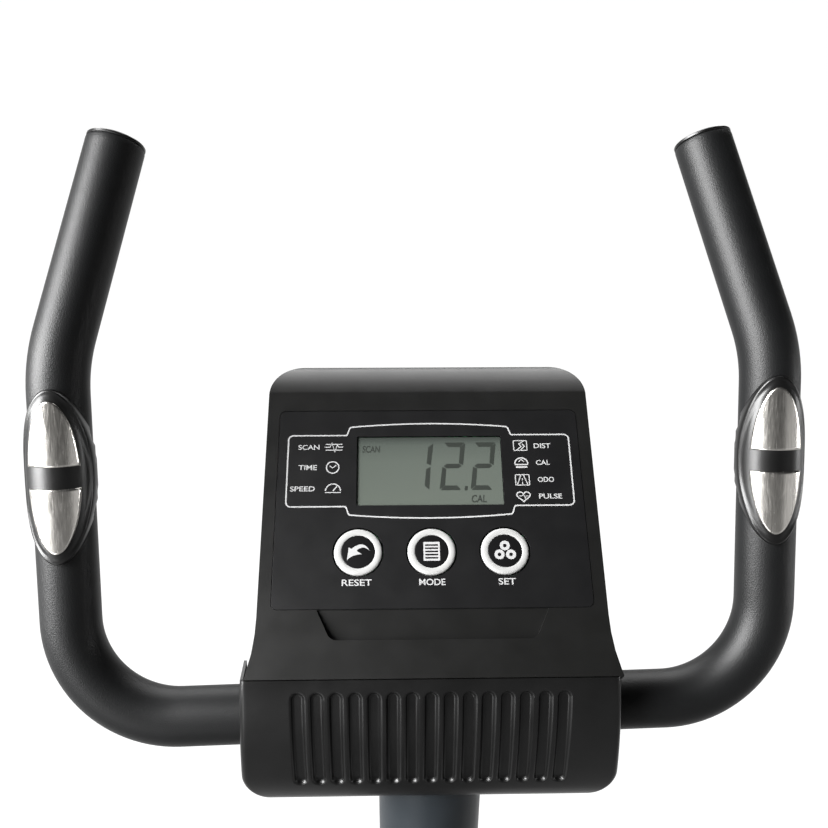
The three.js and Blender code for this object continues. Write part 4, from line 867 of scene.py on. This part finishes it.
def buttons():
    """Each push button: a white rim round a black disc with a white mark."""
    for i, kind in enumerate(("reset", "mode", "set")):
        at = ((i - 1) * BUTTON_PITCH, BUTTON_V)
        node = kind + "_button"
        place = FACE @ Matrix.Translation((*at, 0))
        points, faces = lathe(RING_PROFILE + RING_PROFILE[:1], 72, place)
        ring = link(kind + "_ring", mesh_of(kind, points, faces, 50), "white_plastic", node=node)
        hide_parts(node)
        points, faces = lathe(DISC_PROFILE, 64, place)
        link(kind + "_disc", mesh_of(kind, points, faces, 40), "button_black", node=node)
        mark = link(kind + "_mark", joined(kind, button_mark(kind, at)), "white_ink", node=node)
        mark.data.shade_flat()


# ------------------------------------------------------------------ clamp cover
COVER_HALF_WIDTH, COVER_BOTTOM, COVER_CORNER, COVER_TOP = 103.5, -54, 27, 35.6
COVER_DRAFT, COVER_DRAFT_LENGTH, COVER_SHIFT = 2.4, 66, -1.8  # wider at its lower edge, a little to the left
COVER_FLOOR_START, COVER_SPLIT, COVER_WALL = -8, -0.15, 1.6
FLAT_HALF = 74  # half width of the middle stretch, which keeps its x where the sides are drafted
FLUTE_COUNT, FLUTE_PITCH, FLUTE_R, FLUTE_DEPTH = 15, 10.35, 3.7, 2.1
FLUTE_TOP, FLUTE_END, FLUTE_LIP, FLUTE_SLOPE = 29, -33, 0.35, 1.6
FLUTED_HALF = 84
EDGE_R = 3.0
POST_HOLE = (18.3, 32.3)  # y and radius of the post's hole in the cover's floor
BAR_HOLE_R = 17.7
COVER_ROWS, WALL_STEPS = 190, 8


def cover_curve():
    """Side profile of the front cover as a dense (y, z) line, with the length run up to each point."""
    line = bezier((-19.5, COVER_TOP), (-24, 26), (-27.5, 10), (-27, -12), 60)
    line += bezier((-27, -12), (-26.5, -34), (-22, COVER_BOTTOM), (COVER_FLOOR_START, COVER_BOTTOM), 60)[1:]
    line += [(COVER_FLOOR_START + 7.85 * k / 8, COVER_BOTTOM) for k in range(1, 9)]
    pts = np.array(line)
    run = np.concatenate([[0], np.cumsum(np.hypot(*np.diff(pts, axis=0).T))])
    return pts, run


def cover_columns():
    """x of the grid's columns: fine over the flutes and round the side edges."""
    keep = COVER_HALF_WIDTH - EDGE_R
    right = [FLUTED_HALF + (keep - FLUTED_HALF) * k / 12 for k in range(1, 13)]
    right += [COVER_HALF_WIDTH - EDGE_R * (1 - math.sin(math.radians(90 * k / 8))) for k in range(1, 9)]
    return [-x for x in reversed(right)] + list(np.arange(-FLUTED_HALF, FLUTED_HALF + 0.01, 0.55)) + right


def cover_half(z):
    """Half of the cover's width at a height, with drafted sides and rounded lower corners."""
    half = COVER_HALF_WIDTH + COVER_DRAFT * min((COVER_TOP - z) / COVER_DRAFT_LENGTH, 1)
    drop = COVER_BOTTOM + COVER_CORNER - z
    if drop > 0:
        half += math.sqrt(max(COVER_CORNER ** 2 - drop ** 2, 0)) - COVER_CORNER
    return half


def edge_depth(x):
    """How far the rounded side edge falls away at x."""
    t = (abs(x) - COVER_HALF_WIDTH + EDGE_R) / EDGE_R
    return EDGE_R * (1 - math.sqrt(max(1 - t * t, 0))) if t > 0 else 0


def flute_depth(x, z):
    """How far the nearest flute sinks the surface."""
    k = round(x / FLUTE_PITCH)
    if abs(k) > FLUTE_COUNT // 2:
        return 0
    past_end = max(FLUTE_END + FLUTE_R - z, z - (FLUTE_TOP - FLUTE_R), 0)
    inside = FLUTE_R - math.hypot(x - k * FLUTE_PITCH, past_end)
    t = min(max((inside + FLUTE_LIP) / FLUTE_SLOPE, 0), 1)
    return FLUTE_DEPTH * t * t * (3 - 2 * t)


def cover_grid():
    """The cover's outer skin, row by row from the seam under the face to the split in its floor."""
    pts, run = cover_curve()
    hole_y, hole_r = POST_HOLE
    ahead = 0.3
    grid = []
    for i in range(COVER_ROWS):
        row = []
        for x in cover_columns():
            length = run[-1]
            if abs(x) < hole_r:
                length += min(hole_y - math.sqrt(hole_r ** 2 - x * x) - COVER_SPLIT, 0)
            s = length * i / (COVER_ROWS - 1)
            y, z = np.interp(s, run, pts[:, 0]), np.interp(s, run, pts[:, 1])
            y2, z2 = np.interp(s + ahead, run, pts[:, 0]), np.interp(s + ahead, run, pts[:, 1])
            if s + ahead > run[-1]:
                y2, z2 = y + ahead, z
            size = math.hypot(y2 - y, z2 - z)
            out_y, out_z = (z2 - z) / size, (y - y2) / size
            wide = abs(x)
            if wide > FLAT_HALF:
                stretch = (cover_half(z) - FLAT_HALF) / (COVER_HALF_WIDTH - FLAT_HALF)
                wide = FLAT_HALF + (wide - FLAT_HALF) * stretch
            sunk = edge_depth(x) + flute_depth(x, z)
            row.append((math.copysign(wide, x), y - out_y * sunk, z - out_z * sunk))
        grid.append(row)
    return grid


def cover_front():
    """The fluted front cover, with side walls back to the split, each with half a hole for the bar."""
    grid = cover_grid()
    columns = len(grid[0])
    points = [p for row in grid for p in row]
    faces = grid_faces(COVER_ROWS, columns)
    for end in (0, columns - 1):
        start = len(points)
        for row in grid:
            x, y, z = row[end]
            stop = COVER_SPLIT
            if abs(z) < BAR_HOLE_R:
                stop = min(x * math.tan(BAR_YAW) - math.sqrt(BAR_HOLE_R ** 2 - z * z), stop)
            stop = max(stop, y)
            points += [(x, y + (stop - y) * k / WALL_STEPS, z) for k in range(WALL_STEPS + 1)]
        faces += grid_faces(COVER_ROWS, WALL_STEPS + 1, start=start)
    place = HEAD @ Matrix.Translation((COVER_SHIFT, 0, 0))
    mesh = mesh_of("clamp_cover", [place @ Vector(p) for p in points], faces, 0)
    piece = link("clamp_cover_shell", mesh, "black_plastic", node="clamp_cover_front")
    thick = piece.modifiers.new("wall", "SOLIDIFY")
    thick.thickness, thick.offset = COVER_WALL * MM, -1
    apply_modifiers(piece)
    piece.data.shade_smooth()
    piece.data.set_sharp_from_angle(angle=math.radians(50))
    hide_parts("clamp_cover_front")


# ------------------------------------------------------------------ handlebar
GRIP_X = 196.4
BAR_CORNERS = [Vector(p) for p in [(0, 0, 0), (GRIP_X, 0, 0), (GRIP_X, 60.7, 191), (168.1, 130.7, 294.5)]]
BAR_BENDS = [58.5, 92]
FOAM_R, FOAM_LIP_R, FOAM_START = 16.5, 13.6, 87
BAR = HEAD @ Matrix.Rotation(BAR_YAW, 4, "Z") @ Matrix.Translation((BAR_SHIFT, 0, 0))
SIDES = [("right", BAR), ("left", BAR @ Matrix.Diagonal((-1, 1, 1, 1)))]
PLUG_PROFILE = [(0.01, -14), (9.4, -14), (9.4, 0.3), (FOAM_R - 0.4, 0.35), (FOAM_R - 0.1, 0.7),
                (FOAM_R - 0.1, 1.7), (FOAM_R - 0.5, 2.15), (FOAM_R - 1.3, 2.2), (FOAM_R - 1.9, 1.8),
                (9, 1.85), (0.01, 1.95)]
ROUND_SIDES = 56


def rounded_route(corners, radii, step):
    """A dense line through the corners with circular bends."""
    route = [corners[0].copy()]

    def straight(to):
        start = route[-1].copy()
        count = max(int((to - start).length / step), 1)
        for k in range(1, count + 1):
            route.append(start.lerp(to, k / count))

    for i in range(1, len(corners) - 1):
        here = corners[i]
        back, on = (corners[i - 1] - here).normalized(), (corners[i + 1] - here).normalized()
        half = back.angle(on) / 2
        reach = radii[i - 1] / math.tan(half)
        middle = here + (back + on).normalized() * radii[i - 1] / math.sin(half)
        a, b = here + back * reach - middle, here + on * reach - middle
        straight(here + back * reach)
        sweep = math.pi - 2 * half
        axis = a.cross(b).normalized()
        count = max(int(sweep * radii[i - 1] / step), 6)
        for k in range(1, count + 1):
            route.append(middle + Matrix.Rotation(sweep * k / count, 3, axis) @ a)
    straight(corners[-1])
    return route


def rings_along(line, radii, sides):
    """Rings of points round a line, which may repeat a point where the radius steps."""
    tangents = []
    for i, here in enumerate(line):
        j = i - 1
        while j > 0 and (line[j] - here).length < 1e-6:
            j -= 1
        k = i + 1
        while k < len(line) - 1 and (line[k] - here).length < 1e-6:
            k += 1
        before, after = line[max(j, 0)], line[min(k, len(line) - 1)]
        tangents.append((after - before).normalized())
    points = []
    across = tangents[0].orthogonal().normalized()
    for here, along, radius in zip(line, tangents, radii):
        across = (across - along * across.dot(along)).normalized()
        other = along.cross(across)
        for k in range(sides):
            a = 2 * math.pi * k / sides
            points.append(here + (across * math.cos(a) + other * math.sin(a)) * radius)
    return points


def grips():
    """The foam sleeves, closed by a small rounded lip at each end, and the plugs in the bar's ends."""
    route = rounded_route(BAR_CORNERS, BAR_BENDS, 3.5)
    first = next(i for i, p in enumerate(route) if p.x > FOAM_START)
    before, after = route[first - 1], route[first]
    route = [before.lerp(after, (FOAM_START - before.x) / (after.x - before.x))] + route[first:]
    line = [route[0], route[0]] + route + [route[-1], route[-1]]
    line[2], line[-3] = route[0].lerp(route[1], 0.25), route[-1].lerp(route[-2], 0.3)
    radii = [FOAM_LIP_R, FOAM_R - 0.4] + [FOAM_R] * len(route) + [FOAM_R - 0.4, FOAM_LIP_R]
    rings = rings_along(line, radii, ROUND_SIDES)
    horn = (BAR_CORNERS[3] - BAR_CORNERS[2]).normalized()
    turn = Vector((0, 0, 1)).rotation_difference(horn).to_matrix().to_4x4()
    for label, place in SIDES:
        faces = grid_faces(len(line), ROUND_SIDES, wrap=True)
        mesh = mesh_of("foam", [place @ p for p in rings], faces, 60)
        sleeve = link("foam_sleeve_" + label, mesh, "foam", node="grip_foam_" + label)
        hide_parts("grip_foam_" + label)
        points, faces = lathe(PLUG_PROFILE, ROUND_SIDES, place @ Matrix.Translation(BAR_CORNERS[3]) @ turn)
        cap = link("bar_plug_" + label, mesh_of("cap", points, faces, 35), "black_plastic",
                   node="bar_end_cap_" + label)
        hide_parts("bar_end_cap_" + label)


# ------------------------------------------------------------------ pulse sensors
SENSOR_ALONG, SENSOR_HALF, SENSOR_HALF_WIDTH, SENSOR_R = 141, 47, 19.3, 19.6
SENSOR_TURN = {"right": math.radians(7.5), "left": 0}
RIM_WIDTH, RIM_FALL, GROOVE_WIDTH, GROOVE_DEPTH = 1.2, 1.6, 2.0, 0.55
PAD_HALF, PAD_HALF_WIDTH, PAD_GAP, PAD_R, PAD_EDGE_R, PAD_EDGE_FALL = 41, 13.9, 5.8, 20.45, 1.0, 0.9
# the rings of a patch, as shares of its outline: close together near the edge, where its height changes
PATCH_RINGS = [1, 0.992, 0.98, 0.962, 0.935, 0.9, 0.85, 0.78, 0.68, 0.55, 0.4, 0.22, 0.08]


def oval_depth(x, z, half_width, half_length):
    """Approximate distance inside an oval's outline, in mm."""
    value = math.hypot(x / half_width, z / half_length)
    if value < 1e-6:
        return half_width
    slope = math.hypot(x / half_width ** 2, z / half_length ** 2) / value
    return (1 - value) / slope


def round_fall(t):
    """How far a quarter round falls, from 1 at its edge (t = 0) to 0 where it meets the top (t = 1)."""
    return 1 - math.sqrt(max(1 - (1 - t) ** 2, 0))


def housing_radius(x, z):
    """A rim, a groove, and a raised field round the contacts."""
    d = oval_depth(x, z, SENSOR_HALF_WIDTH, SENSOR_HALF)
    if d < RIM_WIDTH:
        return SENSOR_R - RIM_FALL * round_fall(max(d, 0) / RIM_WIDTH)
    if d < RIM_WIDTH + GROOVE_WIDTH:
        return SENSOR_R - GROOVE_DEPTH * math.sin(math.pi * (d - RIM_WIDTH) / GROOVE_WIDTH) ** 2
    return SENSOR_R


def pad_radius(end, x, z):
    """A flat contact with a rounded edge; end is 1 for the upper contact and -1 for the lower one."""
    d = min(oval_depth(x, z, PAD_HALF_WIDTH, PAD_HALF), end * z - PAD_GAP)
    return PAD_R - PAD_EDGE_FALL * round_fall(min(max(d, 0) / PAD_EDGE_R, 1))


def pad_outline(end):
    """Half an oval, cut straight at the gap between the two contacts."""
    limit = math.asin(PAD_GAP / PAD_HALF)
    angles = [limit + (math.pi - 2 * limit) * k / 48 for k in range(49)]
    outline = [(PAD_HALF_WIDTH * math.cos(a), end * PAD_HALF * math.sin(a)) for a in angles]
    half = PAD_HALF_WIDTH * math.cos(limit)
    return outline + [(half * (k / 8 - 1), end * PAD_GAP) for k in range(1, 16)]


def cylinder_patch(outline, radius_at, place, bottom):
    """A raised patch on a cylinder about local Z, seen along +Y: outline is a list of (x, z) points, and
    radius_at(x, z) gives the radius of its outer side."""
    count = len(outline)
    middle = tuple(sum(p[axis] for p in outline) / count for axis in (0, 1))

    def wrap(x, z, radius):
        x = max(min(x, radius - 0.02), 0.02 - radius)
        return place @ Vector((x, -math.sqrt(radius * radius - x * x), z))

    def shrunk(share):
        return [tuple(m + (p - m) * share for p, m in zip(point, middle)) for point in outline]

    points = [wrap(x, z, bottom) for x, z in outline]
    for share in PATCH_RINGS:
        points += [wrap(x, z, radius_at(x, z)) for x, z in shrunk(share)]
    faces = grid_faces(len(PATCH_RINGS) + 1, count, wrap=True)
    inner, hub = len(PATCH_RINGS) * count, len(points)
    points.append(wrap(*middle, radius_at(*middle)))
    for share in (0.6, 0.2):
        points += [wrap(x, z, bottom) for x, z in shrunk(share)]
    points.append(wrap(*middle, bottom))
    for j in range(count):
        n = (j + 1) % count
        under, deeper = hub + 1, hub + 1 + count
        faces.append((inner + j, inner + n, hub))
        faces.append((j, n, under + n, under + j))
        faces.append((under + j, under + n, deeper + n, deeper + j))
        faces.append((deeper + j, deeper + n, len(points) - 1))
    return points, faces


def sensors():
    """On each grip, an oval housing with an upper and a lower contact."""
    grip = (BAR_CORNERS[2] - BAR_CORNERS[1]).normalized()
    lean = -math.atan2(grip.y, grip.z)
    oval = [(x * (SENSOR_HALF_WIDTH - 0.02), z * SENSOR_HALF) for x, z in circle(0, 0, 1, 120)]
    for label, base in SIDES:
        place = base @ Matrix.Translation(BAR_CORNERS[1] + grip * SENSOR_ALONG)
        place = place @ Matrix.Rotation(lean, 4, "X") @ Matrix.Rotation(-SENSOR_TURN[label], 4, "Z")
        points, faces = cylinder_patch(oval, housing_radius, place, FOAM_R - 0.4)
        shell = link("sensor_shell_" + label, mesh_of("sensor", points, faces, 60), "black_plastic",
                     node="sensor_housing_" + label)
        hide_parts("sensor_housing_" + label)
        for end, name in ((1, "upper"), (-1, "lower")):
            points, faces = cylinder_patch(pad_outline(end), partial(pad_radius, end), place, SENSOR_R - 1.4)
            pad = link(f"{name}_plate_{label}", mesh_of("pad", points, faces, 60), "bare_steel",
                       node=f"{name}_contact_{label}")
            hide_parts(f"{name}_contact_{label}")


# ------------------------------------------------------------------ saddle
SADDLE_NOSE = 140  # its plan runs from 140 ahead of the saddle's own origin to 112 behind it
SADDLE_MIDDLE = (0, -30)
# sections of the pad, as (share of the plan, share of the height)
SADDLE_SECTIONS = [(0.9, 0.0), (0.955, 0.04), (0.975, 0.12), (0.985, 0.25), (0.985, 0.4), (0.975, 0.55),
                   (0.95, 0.7), (0.905, 0.82), (0.84, 0.905), (0.75, 0.96), (0.62, 0.99), (0.46, 1.0),
                   (0.3, 1.0), (0.14, 1.0)]
PIPING_R, PIPING_SHARE, PIPING_UP = 1.9, 0.94, 3.5
VOXEL, PRESSURE, FRAMES, SWELL_CAP, HELD_UP_TO = 5, 4, 20, 5, 6  # the cloth simulation, lengths in mm
CHANNEL_DEPTH, CHANNEL_HALF, SEAM_DEPTH, SEAM_HALF, SEAM_AT = 4, 7.5, 1.4, 2.2, 0.3


def saddle_plan():
    """Outline of the pad from above: a narrow nose and two wide wings."""
    run = bezier((0, 140), (26, 140), (32, 110), (36, 70), 14)[:-1]
    run += bezier((36, 70), (42, 20), (112, -10), (114, -62), 22)[:-1]
    run += bezier((114, -62), (115, -104), (70, -116), (0, -108), 18)
    return run[:-1] + [(-x, y) for x, y in reversed(run)][:-1]


def about_middle(x, y, share):
    """A point of the plan, drawn in towards its middle."""
    return [m + (p - m) * share for p, m in zip((x, y), SADDLE_MIDDLE)]


def saddle_point(x, y, h, low, depth, saddle_y):
    """A point of the pad, with h from 0 at its base to 1 on its crown."""
    tail = min(max((20 - y) / 60, 0), 1)
    crown = depth * (0.86 - 0.12 * (1 - tail)) + depth * 0.14 * tail * min(abs(x) / 70, 1) ** 2
    if h >= 1.0:
        crown -= 0.0035 * math.exp(-(x / 7) ** 2) * min(max((110 - y) / 40, 0), 1)
    return Vector((x * MM, saddle_y + y * MM, low.z + crown * h))


def saddle():
    """A vinyl saddle: crowned pad with a channel down the middle, a seam and a piped lower edge."""
    low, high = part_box("saddle_pad")
    depth, saddle_y = high.z - low.z, high.y - SADDLE_NOSE * MM
    outline = saddle_plan()
    count = len(outline)
    points = [saddle_point(*about_middle(x, y, share), h, low, depth, saddle_y)
              for share, h in SADDLE_SECTIONS for x, y in outline]
    points += [saddle_point(*SADDLE_MIDDLE, h, low, depth, saddle_y) for h in (1.0, 0.0)]
    faces = grid_faces(len(SADDLE_SECTIONS), count, wrap=True)
    last, top, base = (len(SADDLE_SECTIONS) - 1) * count, len(points) - 2, len(points) - 1
    for j in range(count):
        n = (j + 1) % count
        faces.append((last + j, last + n, top))
        faces.append((j, n, base))
    piece = link("saddle_cover", mesh_of("saddle", points, faces, 0), "vinyl", node="saddle_pad")
    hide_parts("saddle_pad")
    swell(piece, low.z + HELD_UP_TO * MM)
    sew(piece, low, high, saddle_y)
    edge = []
    for point in outline[::2]:
        x, y = about_middle(*point, PIPING_SHARE)
        edge.append(Vector((x * MM, saddle_y + y * MM, low.z + PIPING_UP * MM)))
    piping = link("saddle_piping", mesh_of("piping", *closed_tube(edge, PIPING_R * MM, 10), 60), "rubber",
                  node="saddle_pad")
    piping.data.shade_smooth()


def positions(mesh):
    """The mesh's vertices as an array of rows (x, y, z)."""
    co = np.empty(len(mesh.vertices) * 3)
    mesh.vertices.foreach_get("co", co)
    return co.reshape(-1, 3)


def swell(piece, held_below):
    """Blows the cover up with a short cloth simulation and keeps the result as its mesh."""
    remesh = piece.modifiers.new("even", "REMESH")
    remesh.mode, remesh.voxel_size = "VOXEL", VOXEL * MM
    apply_modifiers(piece)
    mesh = piece.data
    start = positions(mesh)
    held = piece.vertex_groups.new(name="held")
    held.add([int(i) for i in np.nonzero(start[:, 2] < held_below)[0]], 1.0, "REPLACE")
    cloth = piece.modifiers.new("swell", "CLOTH")
    cloth.settings.quality = 5
    cloth.settings.use_pressure, cloth.settings.uniform_pressure_force = True, PRESSURE
    cloth.settings.tension_stiffness = cloth.settings.compression_stiffness = 20
    cloth.settings.bending_stiffness = 1.5
    cloth.settings.vertex_group_mass = "held"
    cloth.settings.effector_weights.gravity = 0
    cloth.point_cache.frame_start, cloth.point_cache.frame_end = 1, FRAMES
    scene = bpy.context.scene
    for number in range(1, FRAMES + 1):
        scene.frame_set(number)
    blown = positions(piece.evaluated_get(bpy.context.evaluated_depsgraph_get()).data)
    piece.modifiers.remove(cloth)
    scene.frame_set(1)
    moved = blown - start
    far = np.linalg.norm(moved, axis=1, keepdims=True)
    moved *= np.minimum(1, SWELL_CAP * MM / np.maximum(far, 1e-9))
    mesh.vertices.foreach_set("co", (start + moved).ravel())
    piece.vertex_groups.clear()
    smoother = piece.modifiers.new("even", "SMOOTH")
    smoother.factor, smoother.iterations = 0.5, 4
    finer = piece.modifiers.new("finer", "SUBSURF")
    finer.levels = finer.render_levels = 1
    apply_modifiers(piece)
    piece.data.shade_smooth()


def sew(piece, low, high, saddle_y):
    """Presses the middle channel and the side seam into the cover, and keeps it inside the pad's space."""
    co = positions(piece.data)
    depth = high.z - low.z
    ahead = (co[:, 1] - saddle_y) / MM
    top = co[:, 2] > low.z + 0.55 * depth
    fade = np.clip((105 - ahead) / 40, 0, 1) * np.clip((ahead + 100) / 30, 0, 1)
    channel = CHANNEL_DEPTH * MM * fade * np.exp(-(co[:, 0] / (CHANNEL_HALF * MM)) ** 2)
    co[:, 2] -= np.where(top, channel, 0)
    middle = [0, saddle_y + SADDLE_MIDDLE[1] * MM]
    out = co[:, :2] - middle
    far = np.linalg.norm(out, axis=1)
    seam = np.exp(-((co[:, 2] - low.z - SEAM_AT * depth) / (SEAM_HALF * MM)) ** 2)
    seam *= SEAM_DEPTH * MM * (far > 0.03)
    co[:, :2] -= out / np.maximum(far, 1e-6)[:, None] * seam[:, None]
    co = np.clip(co, low, (high.x, high.y, high.z + MM))
    piece.data.vertices.foreach_set("co", co.ravel())
    piece.data.update()


def closed_tube(line, radius, sides):
    """A round cord along a closed, level line."""
    count = len(line)
    points = []
    for i, p in enumerate(line):
        along = (line[(i + 1) % count] - line[i - 1]).normalized()
        across = Vector((along.y, -along.x, 0))
        for k in range(sides):
            a = 2 * math.pi * k / sides
            points.append(p + across * (radius * math.cos(a)) + Vector((0, 0, radius * math.sin(a))))
    faces = []
    for i in range(count):
        for k in range(sides):
            n, m = (i + 1) % count, (k + 1) % sides
            faces.append((i * sides + k, i * sides + m, n * sides + m, n * sides + k))
    return points, faces


# ------------------------------------------------------------------ build
make_camera()
studio()
dress_cad()
console_front()
console_panel()
console_print()
console_screen()
buttons()
cover_front()
grips()
sensors()
saddle()
